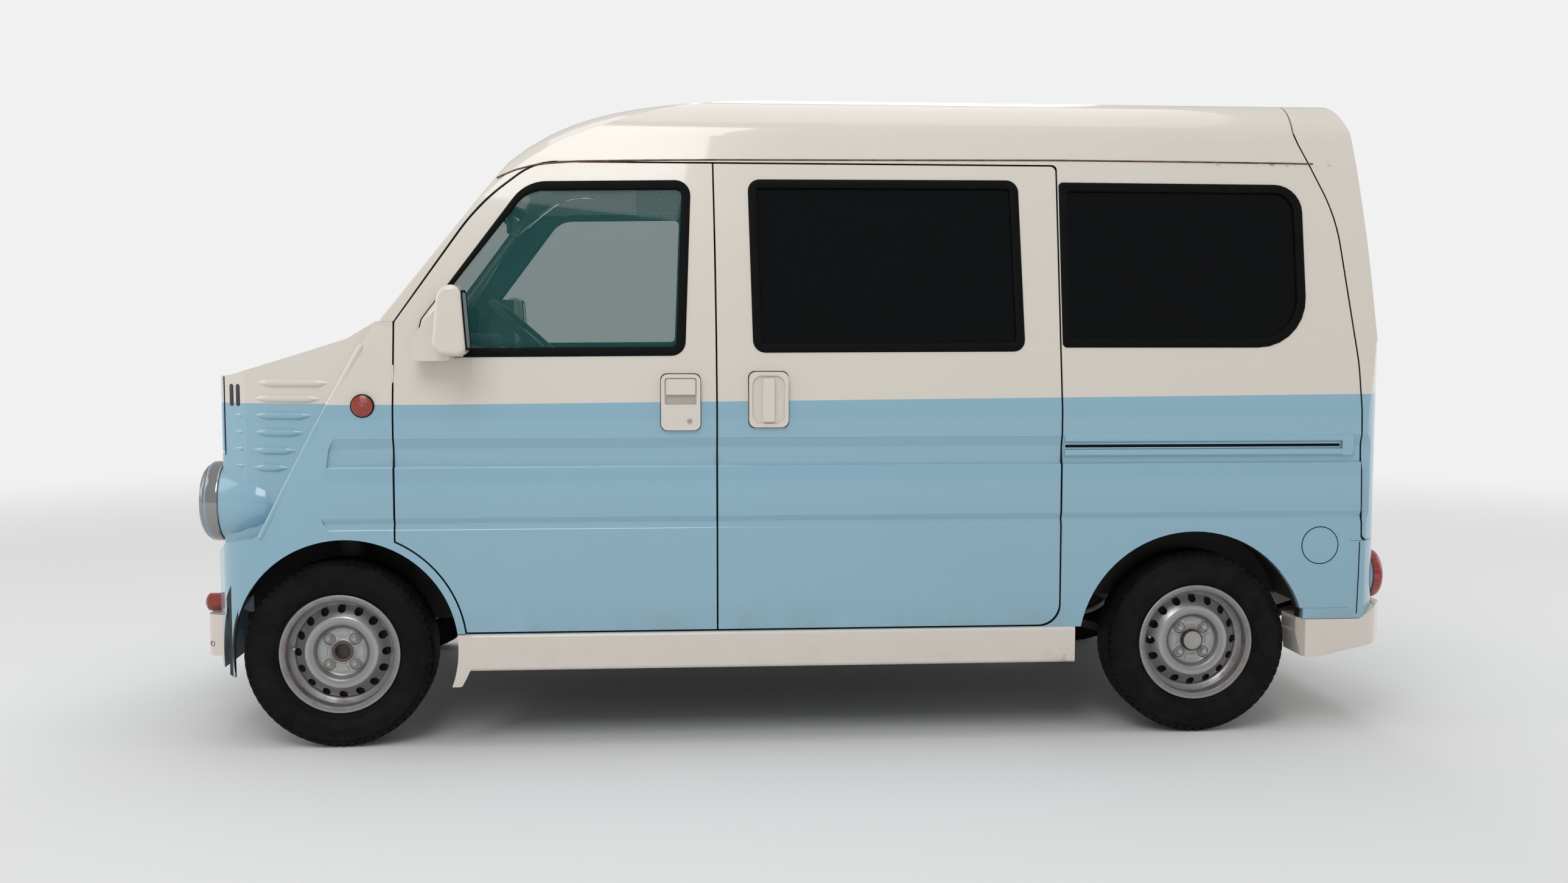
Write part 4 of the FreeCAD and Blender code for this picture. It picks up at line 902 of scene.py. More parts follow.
def disc_pads(name, x, y, side):
    """Raised pads between the nuts, a ring round each nut and one round the hub hole."""
    centre = Vector((x, y + side * 0.0140, sizes().tyre_radius))
    outwards = (0, side, 0)
    parts = [spun("hub_edge", HUB_EDGE, centre, outwards, 40), spun("flange_edge", FLANGE_EDGE, centre, outwards, 48)]
    outline = [(0.0425, -0.30), (0.0590, -0.36), (0.0590, 0.36), (0.0425, 0.30)]
    for index in range(4):
        turn = index * math.pi / 2
        middle = centre + Vector((NUT_CIRCLE * math.cos(turn + math.pi / 4), 0,
                                  NUT_CIRCLE * math.sin(turn + math.pi / 4)))
        parts.append(spun("nut_ring", NUT_RING, middle, outwards, 28))
        corners = []
        for (r0, a0), (r1, a1) in zip(outline, outline[1:] + outline[:1]):
            for step in range(6):
                share = step / 6
                radius, angle = r0 + (r1 - r0) * share, a0 + (a1 - a0) * share + turn
                corners.append(centre + Vector((radius * math.cos(angle), side * 0.0008, radius * math.sin(angle))))
        parts.append(plate("pad", corners, 0.0036, 0.0015))
    return unite(name, parts)


class VAN_OT_wheel_parts(bpy.types.Operator):
    """Fits the wheel nuts, valves, rear centre caps and the raised pads of the discs."""

    bl_idname = "van.wheel_parts"
    bl_label = "Wheel parts"

    def execute(self, context):
        s = sizes()
        one = nut(s.nut_size)
        for node, body, x, y in TYRE_PLACES:
            side = 1 if y > 0 else -1
            parts = []
            for index in range(4):
                angle = math.pi / 4 + index * math.pi / 2
                part = copied(one, "nut_copy")
                place = Matrix.Translation((x + NUT_CIRCLE * math.cos(angle), y + side * 0.0205,
                                            s.tyre_radius + NUT_CIRCLE * math.sin(angle)))
                if side < 0:
                    place @= Matrix.Rotation(math.pi, 4, "Z")
                part.data.transform(place)
                parts.append(part)
            parts.append(wire("valve", [Vector((x + 0.128, y + side * k, s.tyre_radius + 0.012))
                                        for k in (0.012, 0.022, 0.034)], 0.0035))
            if x < 0:
                profile = [(r, side * a) for r, a in HUB_CAP]
                parts.append(spun("cap", profile, (x, y, s.tyre_radius), (0, 1, 0), 32))
            settle(unite("nuts_" + node, parts), body, "steel", "nut_steel", 40.0)
            settle(disc_pads("pads_" + node, x, y, side), body, "steel", node.split("_")[0] + "_wheel_silver", 40.0)
        bpy.data.objects.remove(one)
        return {"FINISHED"}


class VAN_OT_lamps(bpy.types.Operator):
    """Fits reflectors, tail lenses, marker rings, chrome sleeves and fairings to the lamps."""

    bl_idname = "van.lamps"
    bl_label = "Lamps"

    def execute(self, context):
        for side, name in SIDES:
            lamp = (1.6722, side * LAMP_Y, LAMP_Z)
            sleeve = (1.6425, side * LAMP_Y, LAMP_Z)
            tail = (-1.684, side * 0.6, 0.44)
            marker = (1.215, side * 0.7345, 0.949)
            bowl = spun("reflector_" + name, LAMP_BOWL, lamp, AHEAD, 48)
            bulb = spun("bulb", LAMP_BULB, lamp, AHEAD, 32)
            settle(unite("reflector_" + name, [bowl, bulb]), "body", "chrome", "chrome", 30.0)
            for title, profile, place, axis, steps, slot, material, smooth in (
                ("tail_bezel_", TAIL_BEZEL, tail, BACK, 48, "chrome", "black_plastic", 30.0),
                ("tail_dome_", TAIL_DOME, tail, BACK, 48, "red_lens", "red_lens", 40.0),
                ("marker_ring_", MARKER_RING, marker, (0, side, 0), 36, *SEAL, 30.0),
                ("lamp_sleeve_", LAMP_SLEEVE, sleeve, AHEAD, 64, "chrome", "ring_chrome", 50.0),
            ):
                settle(spun(title + name, profile, place, axis, steps), "body", slot, material, smooth)
            settle(lamp_fairing(name, side), "body", "blue", "body_paint", 60.0)
        return {"FINISHED"}


def lamp_fairing(name, side):
    """Blended body behind a headlamp: a bullet that leans outwards along the wing."""
    front, length, radius = 1.640, 0.184, 0.1112
    profile = [(0.0, 0.0)]
    for step in range(11):
        back = length * math.sin(step / 10 * math.pi / 2)
        profile.append((radius * math.sqrt(1.0 - (back / 0.1855) ** 2.5), back))
    piece = spun("lamp_fairing_" + name, profile + [(0.0, 0.1848)], (front, side * LAMP_Y, LAMP_Z), BACK, 56)
    for vertex in piece.data.vertices:
        vertex.co.y += side * (front - vertex.co.x) * 0.46
    return piece


def skin(z):
    """Half width of the skin of the side at a height, with the pressed bands as they show."""
    deep = 0.0
    if 0.783 < z < 0.861:
        deep = min(0.010, (0.861 - z) / 0.029 * 0.010)
    elif 0.606 < z < 0.642:
        deep = min(z - 0.606, 0.642 - z) * 0.3
    if z > 1.63:
        return 0.622 - (z - 1.63) * 0.2193
    return WAIST_HALF - max(0.0, z - WAIST) * SIDE_LEAN - deep


class VAN_OT_side_bands(bpy.types.Operator):
    """Brings the panel between the two pressed bands of each side out to the skin."""

    bl_idname = "van.side_bands"
    bl_label = "Side bands"

    def execute(self, context):
        section = [(0.7255, 0.7842, 0.0), (0.7372, 0.7800, 0.0025), (0.7372, 0.6420, 0.006), (0.7303, 0.6262, 0.0),
                   (0.7255, 0.6262, 0.0)]
        for name, body, finish_name, start, end in (
            ("front_door", "door_", "door_paint", 0.2569, 1.1317),
            ("sliding_door", "body", "door_paint", -0.7112, 0.2513),
            ("rear_side", "body", "body_paint", -1.5825, -0.7168),
            ("fender", "body", "body_paint", 1.1373, 1.36),
        ):
            left = face_mesh("band_" + name + "_left", [Vector((start, p.x, p.y)) for p in rounded(section, 4)])
            edit(left)
            bpy.ops.mesh.extrude_region_move(TRANSFORM_OT_translate={"value": (end - start, 0, 0)})
            leave()
            for vertex in left.data.vertices:
                if name == "fender" and vertex.co.x > 1.3:
                    rise = vertex.co.z - 0.590
                    low = 0.020 * max(0.0, (0.072 - rise) / 0.072) ** 2
                    vertex.co.x = 1.3505 - rise * 0.1568 - low
                if name == "rear_side" and vertex.co.x < -1.5:
                    vertex.co.x = -1.5842 + (vertex.co.z - 0.63) * 0.022
            outward(left)
            settle_pair(left, body, "blue", finish_name, 30.0)
        return {"FINISHED"}


class VAN_OT_gap_seals(bpy.types.Operator):
    """Fits thin black wires in the gaps round the doors, the tailgate and the front lid, as painted shade in the gaps.
    """

    bl_idname = "van.gap_seals"
    bl_label = "Seals of the gaps"

    def execute(self, context):
        arch = [(FRONT_ARCH[0] - 0.3295 * math.cos(a), FRONT_ARCH[1] + 0.3295 * math.sin(a)) for a in
                (0.135 + (1.140 - 0.135) * k / 14 for k in range(15))]
        pillar = rounded([(1.1345, 0.60, 0.0), (1.1345, 1.176, 0.012), (0.9073, 1.5025, 0.6), (0.7521, 1.6205, 0.18),
                          (0.2541, 1.6205, 0.0)], 10)
        heights = [0.600, 0.606, 0.624, 0.642, 0.700, 0.779, 0.783, 0.832, 0.861, 0.900, 0.930, 1.05, 1.16]
        front = [(1.1345, z) for z in heights] + [(p.x, p.y) for p in pillar if p.y > 1.165 and p.x > 0.30]
        upright = [0.345] + heights[1:] + [1.3, 1.5, 1.6205]
        corner = rounded([(0.9, 0.3225, 0.0), (-0.714, 0.3225, 0.06), (-0.714, 0.6, 0.0)], 8)
        tail = rounded([(-1.5885, 0.30, 0.0), (-1.5885, 0.5625, 0.0), (-1.5775, 1.06, 0.6), (-1.5275, 1.48, 0.5),
                        (-1.4255, 1.69, 0.12), (-1.4160, 1.720, 0.0), (-1.416, 1.73, 0.0)], 8)
        tail = [(p.x, p.y) for p in tail if 0.562 < p.y < 1.722]
        tail = [(low[0] + (high[0] - low[0]) * k / 12, low[1] + (high[1] - low[1]) * k / 12)
                for low, high in zip(tail, tail[1:]) for k in range(12)]
        # Painted shade: the sunk wires lie 3 mm down in the gaps and darken them; the drawn one lies on the skin along
        # the joint of the rear corner panel
        sunk, drawn = (-0.0032, 0.0021), (0.0004, 0.0014)
        for name, path, (proud, radius) in (
            ("door_front", arch + front, sunk),
            ("door_rear", [(0.2541, z) for z in upright], sunk),
            ("slide_rear", [(p.x, p.y) for p in corner[1:-1]] + [(-0.714, z) for z in upright[1:]], sunk),
            ("sill", [(0.9400, 0.3225), (0.10, 0.3225), (-0.650, 0.3225)], sunk),
            ("tail", tail, sunk),
            ("corner_panel", [(-1.5840, 0.552), (-1.5825, 0.450), (-1.5800, 0.345)], drawn),
        ):
            left = wire("gap_" + name + "_left", on_side(path, skin, proud), radius, sides=2)
            settle_pair(left, "body", *SEAL, 40.0)
        for side, name in SIDES:
            points = [Vector((1.6225, side * 0.5785, z)) for z in (0.805, 0.92, 1.025)]
            settle(wire("gap_lid_" + name, points, 0.0022, sides=2), "body", *SEAL, 40.0)
        return {"FINISHED"}


class VAN_OT_outlines(bpy.types.Operator):
    """Fits the thin gaskets of the handles, and a thin black ring in the gap round the fuel lid as painted shade."""

    bl_idname = "van.outlines"
    bl_label = "Handle gaskets"

    def execute(self, context):
        for name, (x0, z0), (x1, z1), body in (("door", (0.300, 0.880), (0.408, 1.034), "door_"),
                                               ("slide", (0.057, 0.887), (0.166, 1.040), "body")):
            corners = [(x0, z0, 0.016), (x1, z0, 0.016), (x1, z1, 0.016), (x0, z1, 0.016)]
            loops = filled_in(rounded(grown(corners, 0.0018)), rounded(grown(corners, -0.0006)), 0.02)
            loops = [on_side(loop, skin, 0.0004) for loop in loops]
            settle_pair(rim_ring("gasket_" + name + "_left", *loops, 0.0016, 0.2), body, *SEAL)
        # Painted shade: a black ring in the gap round the fuel lid
        ring = spun("fuel_gap", FUEL_GAP, (-1.467, 0.7372, 0.543), (0, 1, 0), 48)
        settle(ring, "body", *SEAL, 30.0)
        return {"FINISHED"}


class VAN_OT_sails(bpy.types.Operator):
    """Fits the mirror's sail panel in the front corner of each door window."""

    bl_idname = "van.sails"
    bl_label = "Mirror sails"

    def execute(self, context):
        inner, top = 0.945, 1.262
        rim = [p for p in rounded(grown(SIDE_WINDOWS["front"], 0.0015)) if p.x > 0.94 and p.y < 1.3]
        rim.append(Vector((1.0012, top)))
        outline = [Vector((inner, rim[0].y))] + rim + [Vector((inner, top))]
        left = plate("sail_left", on_side(outline, side_plane, 0.0030), 0.009, 0.0025)
        settle_pair(left, "door_", "white", "trim_white")
        left = wire("sail_edge_left", on_side(rim, side_plane, 0.0062), 0.0019, sides=3)
        settle_pair(left, "door_", *SEAL, 40.0)
        return {"FINISHED"}


class VAN_OT_drums(bpy.types.Operator):
    """Fits the brake drums behind the wheel discs, near black as painted shade behind the vents."""

    bl_idname = "van.drums"
    bl_label = "Brake drums"

    def execute(self, context):
        for node, body, x, y in TYRE_PLACES:
            piece = spun("drum_" + node, DRUM, (x, y, sizes().tyre_radius), (0, 1 if y > 0 else -1, 0), 48)
            carrier = "steer_" + body.split("_")[2] if "front" in body else "body"
            settle(piece, carrier, "cast_iron", "drum_iron", 30.0)
        return {"FINISHED"}


class VAN_OT_bumper_screws(bpy.types.Operator):
    """Fits the rusty screws at the ends of the front bumper."""

    bl_idname = "van.bumper_screws"
    bl_label = "Bumper screws"

    def execute(self, context):
        for side, name in SIDES:
            screw = spun("bumper_screw_" + name, SCREW_HEAD, (1.662, side * 0.6135, 0.279), (0.49, side * 0.87, 0), 24)
            settle(screw, "body", "steel", "rusty_steel", 30.0)
        return {"FINISHED"}


class VAN_OT_roof_seam(bpy.types.Operator):
    """Runs sealer along the joint of the roof."""

    bl_idname = "van.roof_seam"
    bl_label = "Roof seam"

    def execute(self, context):
        path = [(0.858, 1.573), (0.845, 1.580), (0.805, 1.597), (0.76, 1.609), (0.72, 1.615), (0.636, 1.622),
                (0.45, 1.626), (0.25, 1.629), (-0.2, 1.632), (-0.716, 1.636), (-1.1, 1.635), (-1.40, 1.633),
                (-1.466, 1.632)]
        for side, name in SIDES:
            points = [Vector((x, side * (side_plane(z) - 0.0005), z)) for x, z in path]
            piece = wire("roof_seam_" + name, points, 0.0026, sides=2)
            settle(piece, "body", "black_plastic", "seam_sealer", 40.0)
        return {"FINISHED"}


class VAN_OT_nose_vents(bpy.types.Operator):
    """Fits the black mesh slots on the corners of the nose."""

    bl_idname = "van.nose_vents"
    bl_label = "Nose vents"

    def execute(self, context):
        half, high = 0.0065, 0.029
        corners = [(-half, -high, 0.0064), (half, -high, 0.0064), (half, high, 0.0064), (-half, high, 0.0064)]
        lean = math.atan2(0.047, 0.080)
        along = Vector((math.cos(lean), -math.sin(lean), 0))
        for x, y in ((1.5985, 0.592), (1.5785, 0.6045)):
            points = [Vector((x, y, 0.974)) + along * p.x + Vector((0, 0, p.y)) for p in rounded(corners)]
            piece = plate("nose_vent_left_" + str(round(x * 1000)), points, 0.005, 0.0012)
            settle_pair(piece, "body", "black_plastic", "mesh_black")
        return {"FINISHED"}


class VAN_OT_grille(bpy.types.Operator):
    """Fits black mesh behind the slots between the lamps."""

    bl_idname = "van.grille"
    bl_label = "Grille mesh"

    def execute(self, context):
        pieces = []
        for index in range(6):
            z = 0.668 + (index - 2.5) * 0.028
            pieces.append(block("grille", (1.6555, -0.306, z - 0.0066), (1.6585, 0.306, z + 0.0066), 0.0008, 1))
        settle(unite("grille_mesh", pieces), "body", "black_plastic", "mesh_black")
        return {"FINISHED"}


class VAN_OT_slide_rails(bpy.types.Operator):
    """Fits the track between the bars of each slide rail in the body colour, with a black strip along its slot as
    painted shade.
    """

    bl_idname = "van.slide_rails"
    bl_label = "Slide rail tracks"

    def execute(self, context):
        for side, name in SIDES:
            track = side_block("rail_track_" + name, side, (-1.522, -0.721), (0.7275, 0.7315), (0.8215, 0.8408), 0.0008)
            settle(track, "body", "blue", "body_paint")
            # Painted shade: a black strip along the slot of the rail
            strip = side_block("rail_slot_" + name, side, (-1.519, -0.724), (0.7310, 0.7322), (0.8262, 0.8342), 0.0004)
            settle(strip, "body", *SEAL)
        return {"FINISHED"}


class VAN_OT_handle_parts(bpy.types.Operator):
    """Fits lock barrels and shadow gaps to the door handles."""

    bl_idname = "van.handle_parts"
    bl_label = "Handle parts"

    def execute(self, context):
        face = 0.749
        for side, name in SIDES:
            ring = spun("lock_" + name, LOCK, (0.330, side * face, 0.906), (0, side, 0), 28)
            key = side_block("key", side, (0.3292, 0.3308), (face - 0.0005, face + 0.0012), (0.9028, 0.9092), 0.0003)
            settle(unite("lock_" + name, [ring, key]), "door_" + name, "chrome", "nut_steel", 30.0)
            shade = side_block("flap_shade_" + name, side, (0.3125, 0.3955), (0.7393, 0.7405), (0.9525, 0.9765), 0.0004)
            settle(shade, "door_" + name, "black_plastic", "grey_shade")
        return {"FINISHED"}


class VAN_OT_mirrors(bpy.types.Operator):
    """Fits the glass and the gasket of the door mirrors."""

    bl_idname = "van.mirrors"
    bl_label = "Mirrors"

    def execute(self, context):
        corners = [(0.790, 1.105, 0.018), (0.874, 1.105, 0.018), (0.874, 1.256, 0.018), (0.790, 1.256, 0.018)]
        for side, name in SIDES:
            pane, outer, inner = ([Vector((0.9175 + (p.y - 1.120) * 0.0733, side * p.x, p.y)) for p in rounded(outline)]
                                  for outline in (corners, grown(corners, 0.004), grown(corners, -0.003)))
            settle(plate("mirror_glass_" + name, pane, 0.003), "door_" + name, "chrome", "mirror_face")
            settle(rim_ring("mirror_gasket_" + name, outer, inner, 0.005), "door_" + name, *SEAL)
        return {"FINISHED"}


class VAN_OT_wiper_blades(bpy.types.Operator):
    """Fits the wiper blades."""

    bl_idname = "van.wiper_blades"
    bl_label = "Wiper blades"

    def execute(self, context):
        for index, foot in enumerate((-0.430, 0.060)):
            start, end = (foot + 0.05, 1.168), (foot + 0.345, 1.1865)
            parts = []
            for spread, radius, lift in ((0.0, 0.0035, 0.0100), (0.006, 0.0024, 0.0100), (0.0, 0.0018, 0.0060)):
                points = []
                for step in range(7):
                    y = start[0] + (end[0] - start[0]) * step / 6
                    z = start[1] + (end[1] - start[1]) * step / 6 + 0.014 + spread
                    points.append(Vector((screen_front(y, z) + lift, y, z)))
                parts.append(wire("blade", points, radius, sides=2))
            settle(unite("wiper_blade_%d" % index, parts), "body", *SEAL, 40.0)
        return {"FINISHED"}


def roof_inner(x, y):
    """Height of the roof's inner face."""
    reach = abs(y)
    crown = 1.866 - y * y / 3.4 if reach < 0.2454 else 1.88399 - reach * math.tan(math.radians(8.3))
    back = max(0.0, x - 0.0205)
    return crown - 0.118 * back ** 2 - 0.3 * back ** 5 - 0.040


class VAN_OT_headliner(bpy.types.Operator):
    """Lines the roof inside with a pale board."""

    bl_idname = "van.headliner"
    bl_label = "Roof lining"

    def execute(self, context):
        clear()
        bpy.ops.mesh.primitive_grid_add(x_subdivisions=36, y_subdivisions=16, size=1)
        piece = bpy.context.object
        piece.name = "headliner"
        for vertex in piece.data.vertices:
            x = -0.365 + vertex.co.x * 1.99
            y = vertex.co.y * 0.94
            vertex.co = (x, y, roof_inner(x, y))
        modifier(piece, "SOLIDIFY", thickness=0.004, offset=0.0)
        outward(piece)
        settle(piece, "body", "grey_plastic", "headliner")
        return {"FINISHED"}


class VAN_OT_door_trims(bpy.types.Operator):
    """Lines the front doors with a panel, an armrest and a window winder."""

    bl_idname = "van.door_trims"
    bl_label = "Door trims"

    def execute(self, context):
        for side, name in SIDES:
            parts = [side_block("trim", side, along, out, up, 0.004, 3) for along, out, up in (
                ((0.34, 0.90), (0.674, 0.6855), (0.60, 0.935)),
                ((0.34, 0.90), (0.676, 0.6855), (0.40, 0.58)),
                ((0.40, 0.72), (0.628, 0.675), (0.79, 0.835)))]
            points = [Vector((x, side * y, z)) for x, y, z in
                      ((0.80, 0.672, 0.745), (0.80, 0.660, 0.745), (0.845, 0.654, 0.765), (0.845, 0.640, 0.765))]
            parts.append(wire("winder", points, 0.007, sides=2))
            settle(unite("door_trim_" + name, parts), "door_" + name, "grey_plastic", "door_trim")
        return {"FINISHED"}


class VAN_OT_dash_parts(bpy.types.Operator):
    """Fits the instrument hood, vents, radio, shelf and inside mirror."""

    bl_idname = "van.dash_parts"
    bl_label = "Dashboard parts"

    def execute(self, context):
        parts = [block("hood", (0.972, -0.50, 1.086), (1.075, -0.20, 1.142), 0.018, 4),
                 block("radio", (0.9125, -0.10, 0.875), (0.930, 0.10, 0.925), 0.003, 2),
                 block("shelf", (0.905, 0.18, 0.820), (0.940, 0.56, 0.832), 0.004, 2),
                 block("mirror_inside", (0.872, -0.11, 1.452), (0.888, 0.11, 1.512), 0.007, 3),
                 wire("stalk", [Vector((x, 0, z)) for x, z in ((0.886, 1.482), (0.905, 1.500), (0.918, 1.535))], 0.006)]
        for y in (-0.56, -0.15, 0.15, 0.56):
            centre = (0.941, y, 1.035)
            parts.append(spun("vent", VENT, centre, (-0.945, 0, 0.327), 32))
            for step in (-2, -1, 0, 1, 2):
                height = step * 0.009
                half = math.sqrt(0.026 ** 2 - height ** 2)
                slat = block("slat", (-0.006, -half, height - 0.0012), (-0.0025, half, height + 0.0012), 0.0004, 1)
                slat.data.transform(Matrix.Translation(centre) @ Matrix.Rotation(0.333, 4, "Y"))
                parts.append(slat)
        settle(unite("dash_parts", parts), "body", "black_plastic", "black_plastic")
        return {"FINISHED"}


SEAT_CUSHION = [(0.334, 0.566, 0.012), (0.836, 0.566, 0.02), (0.844, 0.684, 0.045), (0.384, 0.655, 0.03),
                (0.334, 0.655, 0.02)]
SEAT_BACK = [(0.334, 0.640, 0.02), (0.432, 0.652, 0.035), (0.322, 1.124, 0.035), (0.233, 1.114, 0.035)]
SEAT_REST = [(0.232, 1.146, 0.02), (0.316, 1.155, 0.03), (0.296, 1.304, 0.034), (0.227, 1.295, 0.024)]
BENCH_CUSHION = [(-0.754, 0.646, 0.012), (-0.336, 0.646, 0.02), (-0.327, 0.793, 0.04), (-0.754, 0.774, 0.03)]
BENCH_BACK = [(-0.794, 0.706, 0.02), (-0.706, 0.726, 0.03), (-0.786, 1.173, 0.038), (-0.873, 1.163, 0.038)]


def stuffed(name, corners, low, high, pleats, blown):
    """Upholstered pad: the outline carried across, filled, rounded and stitched."""
    inset, puff = 0.012, 0.010
    piece = face_mesh(name, [Vector((p.x, low + inset, p.y)) for p in rounded(grown(corners, -0.007), 5)])
    edit(piece)
    bpy.ops.mesh.extrude_region_move(TRANSFORM_OT_translate={"value": (0, high - low - 2 * inset, 0)})
    leave()
    outward(piece)
    modifier(piece, "BEVEL", width=0.016, segments=3, limit_method="ANGLE", angle_limit=1.2)
    modifier(piece, "REMESH", mode="VOXEL", voxel_size=0.009)
    modifier(piece, "SMOOTH", factor=0.5, iterations=4)
    start = [vertex.co.copy() for vertex in piece.data.vertices]
    if blown:
        only(piece)
        cloth = piece.modifiers.new("Cloth", "CLOTH")
        cloth.settings.quality = 4
        cloth.settings.use_pressure = True
        cloth.settings.uniform_pressure_force = 4.0
        cloth.settings.effector_weights.gravity = 0.0
        for step in range(1, 21):
            bpy.context.scene.frame_set(step)
        bpy.ops.object.modifier_apply(modifier=cloth.name)
        bpy.context.scene.frame_set(1)
    for vertex, first in zip(piece.data.vertices, start):
        step = vertex.co - first
        if step.length > puff:
            vertex.co = first + step.normalized() * puff
    middle, half = (low + high) / 2, (high - low) / 2 - inset
    normals = [vertex.normal.copy() for vertex in piece.data.vertices]
    for vertex, normal in zip(piece.data.vertices, normals):
        across = min(1.0, abs(vertex.co.y - middle) / half)
        amount = 0.003 * (1 - across ** 4)
        if abs(normal.y) < 0.6:
            for pleat in pleats:
                amount -= 0.006 * math.exp(-((abs(vertex.co.y - middle) - pleat) / 0.008) ** 2)
        vertex.co += normal * amount
    modifier(piece, "SUBSURF", levels=1, render_levels=1)
    return piece


class VAN_OT_seats(bpy.types.Operator):
    """Fits the padded front seats and rear bench."""

    bl_idname = "van.seats"
    bl_label = "Seats"

    def execute(self, context):
        left = [stuffed("seat_cushion_left", SEAT_CUSHION, *SEAT_SPAN, (0.06, 0.15), True),
                stuffed("seat_back_left", SEAT_BACK, *SEAT_SPAN, (0.06, 0.15), True),
                stuffed("seat_rest_left", SEAT_REST, 0.225, 0.485, (), False)]
        right = [mirrored(piece, piece.name.replace("left", "right")) for piece in left]
        bench = [stuffed("bench_cushion", BENCH_CUSHION, *BENCH_SPAN, (0.0, 0.19, 0.37), False),
                 stuffed("bench_back", BENCH_BACK, *BENCH_SPAN, (0.0, 0.19, 0.37), False)]
        for piece in left + right + bench:
            settle(piece, "body", "seat_cloth", "cabin_cloth", 0)
            only(piece)
            bpy.ops.object.shade_smooth()
            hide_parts("seats")
        posts = []
        for side in (1, -1):
            for shift in (-0.05, 0.05):
                y = side * 0.355 + shift
                points = [Vector((x, y, z)) for x, z in ((0.276, 1.10), (0.273, 1.13), (0.270, 1.165))]
                posts.append(wire("post", points, 0.006, sides=2))
        settle(unite("rest_posts", posts), "body", "chrome", "nut_steel", 40.0)
        return {"FINISHED"}


CAMERA_PLACE = (0.383, 4.9378, 1.1621)
CAMERA_RIGHT = (-0.997225, 0.074441, 0.000775)
CAMERA_UP = (-0.004774, -0.074346, 0.997221)
CAMERA_AHEAD = (-0.074292, -0.99445, -0.074495)
CAMERA_LENS = 35.032
BACKDROP = (0.88, 0.88, 0.89)


class VAN_OT_stage(bpy.types.Operator):
    """Sets up the floor, the soft light and the camera."""

    bl_idname = "van.stage"
    bl_label = "Stage"

    def execute(self, context):
        scene = context.scene
        scene.view_settings.view_transform = "Standard"
        clear()
        bpy.ops.mesh.primitive_plane_add(size=200, location=(0, 0, -0.0005))
        floor = bpy.context.object
        floor.name = "stage_floor"
        matte = Finish("stage_floor", (0.74, 0.74, 0.74), 0.9)
        away = matte.output("ShaderNodeVectorMath", "Value", {0: matte.place}, operation="LENGTH")
        far = matte.output("ShaderNodeMapRange", "Result", {"Value": away, "From Min": 3.0, "From Max": 9.0},
                           interpolation_type="SMOOTHSTEP")
        glow = matte.output("ShaderNodeEmission", 0, {"Color": BACKDROP})
        both = matte.output("ShaderNodeMixShader", 0, {0: far, 1: matte.shader.outputs[0], 2: glow})
        fill(matte.tree, matte.tree.nodes["Material Output"].inputs[0], both)
        floor.data.materials.append(matte.material)
        world = bpy.data.worlds.new("studio")
        scene.world = world
        world.use_nodes = True
        tree = world.node_tree
        back = tree.nodes["Background"]
        fill(tree, back.inputs["Color"], (1.0, 1.0, 1.0))
        fill(tree, back.inputs["Strength"], 0.56)
        shown = add_node(tree, "ShaderNodeBackground", {"Color": BACKDROP, "Strength": 1.0})
        path = add_node(tree, "ShaderNodeLightPath")
        seen = add_node(tree, "ShaderNodeMath", {0: path.outputs["Is Camera Ray"],
                                                 1: path.outputs["Is Transmission Ray"]}, operation="MAXIMUM")
        mix = add_node(tree, "ShaderNodeMixShader", {0: seen.outputs[0], 1: back.outputs[0], 2: shown.outputs[0]})
        fill(tree, tree.nodes["World Output"].inputs[0], mix.outputs[0])
        for name, place, size, power in (
            ("light_left", (1.5, 5.0, 5.0), 3.0, 112.0),
            ("light_right", (-1.0, -5.0, 5.0), 3.0, 90.0),
            ("light_top", (0.0, 0.0, 6.5), 6.0, 92.0),
            ("light_front", (6.0, 0.5, 3.0), 4.0, 62.0),
            ("light_back", (-6.0, 0.5, 3.0), 4.0, 62.0),
        ):
            lamp = bpy.data.lights.new(name, "AREA")
            lamp.energy = power
            lamp.size = size
            holder = bpy.data.objects.new(name, lamp)
            scene.collection.objects.link(holder)
            holder.location = place
            holder.rotation_euler = (Vector((0, 0, 0.9)) - Vector(place)).to_track_quat("-Z", "Y").to_euler()
        view = bpy.data.cameras.new("camera")
        view.sensor_width = 36.0
        view.sensor_fit = "HORIZONTAL"
        view.lens = CAMERA_LENS
        holder = bpy.data.objects.new("camera", view)
        scene.collection.objects.link(holder)
        turn = Matrix((CAMERA_RIGHT, CAMERA_UP, tuple(-k for k in CAMERA_AHEAD))).transposed()
        holder.matrix_world = Matrix.Translation(CAMERA_PLACE) @ turn.to_4x4()
        scene.camera = holder
        return {"FINISHED"}


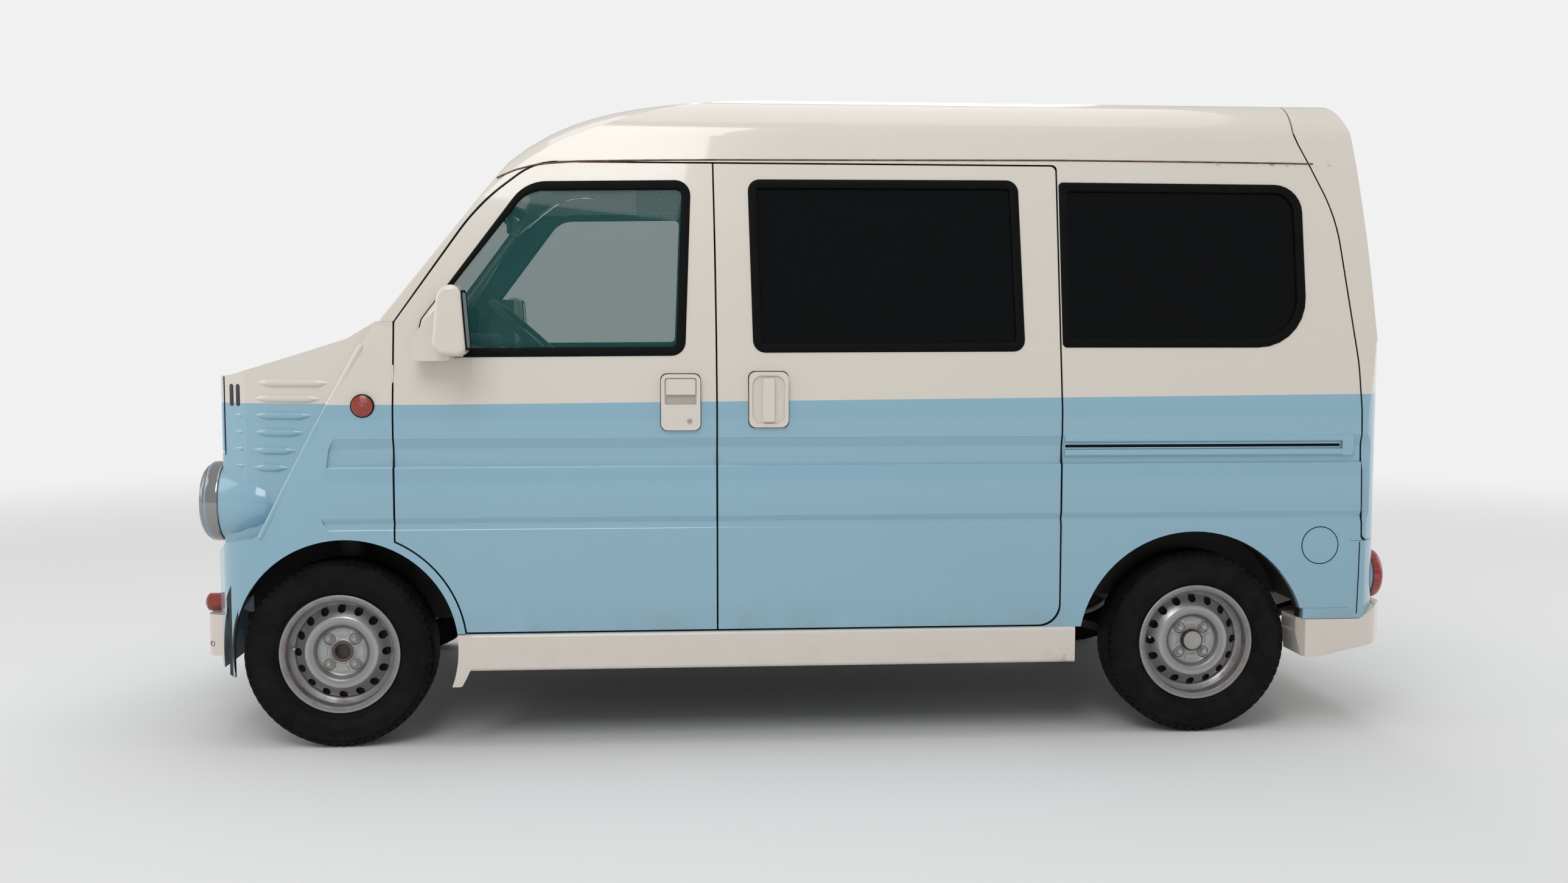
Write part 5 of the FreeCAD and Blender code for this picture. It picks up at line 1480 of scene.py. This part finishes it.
STEPS = (VAN_OT_stage, VAN_OT_paint, VAN_OT_seals, VAN_OT_screen_seals, VAN_OT_tyres, VAN_OT_wheel_parts, VAN_OT_lamps,
         VAN_OT_side_bands, VAN_OT_gap_seals, VAN_OT_outlines, VAN_OT_sails, VAN_OT_drums, VAN_OT_bumper_screws,
         VAN_OT_roof_seam, VAN_OT_nose_vents, VAN_OT_grille, VAN_OT_slide_rails, VAN_OT_handle_parts, VAN_OT_mirrors,
         VAN_OT_wiper_blades, VAN_OT_headliner, VAN_OT_door_trims, VAN_OT_dash_parts, VAN_OT_seats)


class VAN_PT_panel(bpy.types.Panel):
    """Sidebar panel of the van's pieces."""

    bl_idname = "VAN_PT_panel"
    bl_label = "Van"
    bl_space_type = "VIEW_3D"
    bl_region_type = "UI"
    bl_category = "Van"

    def draw(self, context):
        for group in (context.scene.van_sizes, context.scene.van_colours):
            for name in group.__annotations__:
                self.layout.prop(group, name)
        for step in STEPS:
            self.layout.operator(step.bl_idname)


CLASSES = (VanSizes, VanColours, *STEPS, VAN_PT_panel)


def register():
    for entry in CLASSES:
        bpy.utils.register_class(entry)
    bpy.types.Scene.van_sizes = bpy.props.PointerProperty(type=VanSizes)
    bpy.types.Scene.van_colours = bpy.props.PointerProperty(type=VanColours)


def unregister():
    del bpy.types.Scene.van_colours
    del bpy.types.Scene.van_sizes
    for entry in reversed(CLASSES):
        bpy.utils.unregister_class(entry)


def main():
    register()
    bpy.ops.van.stage()
    bpy.ops.van.paint()
    bpy.ops.van.seals()
    bpy.ops.van.screen_seals()
    bpy.ops.van.tyres()
    bpy.ops.van.wheel_parts()
    bpy.ops.van.lamps()
    bpy.ops.van.side_bands()
    bpy.ops.van.gap_seals()
    bpy.ops.van.outlines()
    bpy.ops.van.sails()
    bpy.ops.van.drums()
    bpy.ops.van.bumper_screws()
    bpy.ops.van.roof_seam()
    bpy.ops.van.nose_vents()
    bpy.ops.van.grille()
    bpy.ops.van.slide_rails()
    bpy.ops.van.handle_parts()
    bpy.ops.van.mirrors()
    bpy.ops.van.wiper_blades()
    bpy.ops.van.headliner()
    bpy.ops.van.door_trims()
    bpy.ops.van.dash_parts()
    bpy.ops.van.seats()
    clear()


if __name__ == "__main__":
    main()
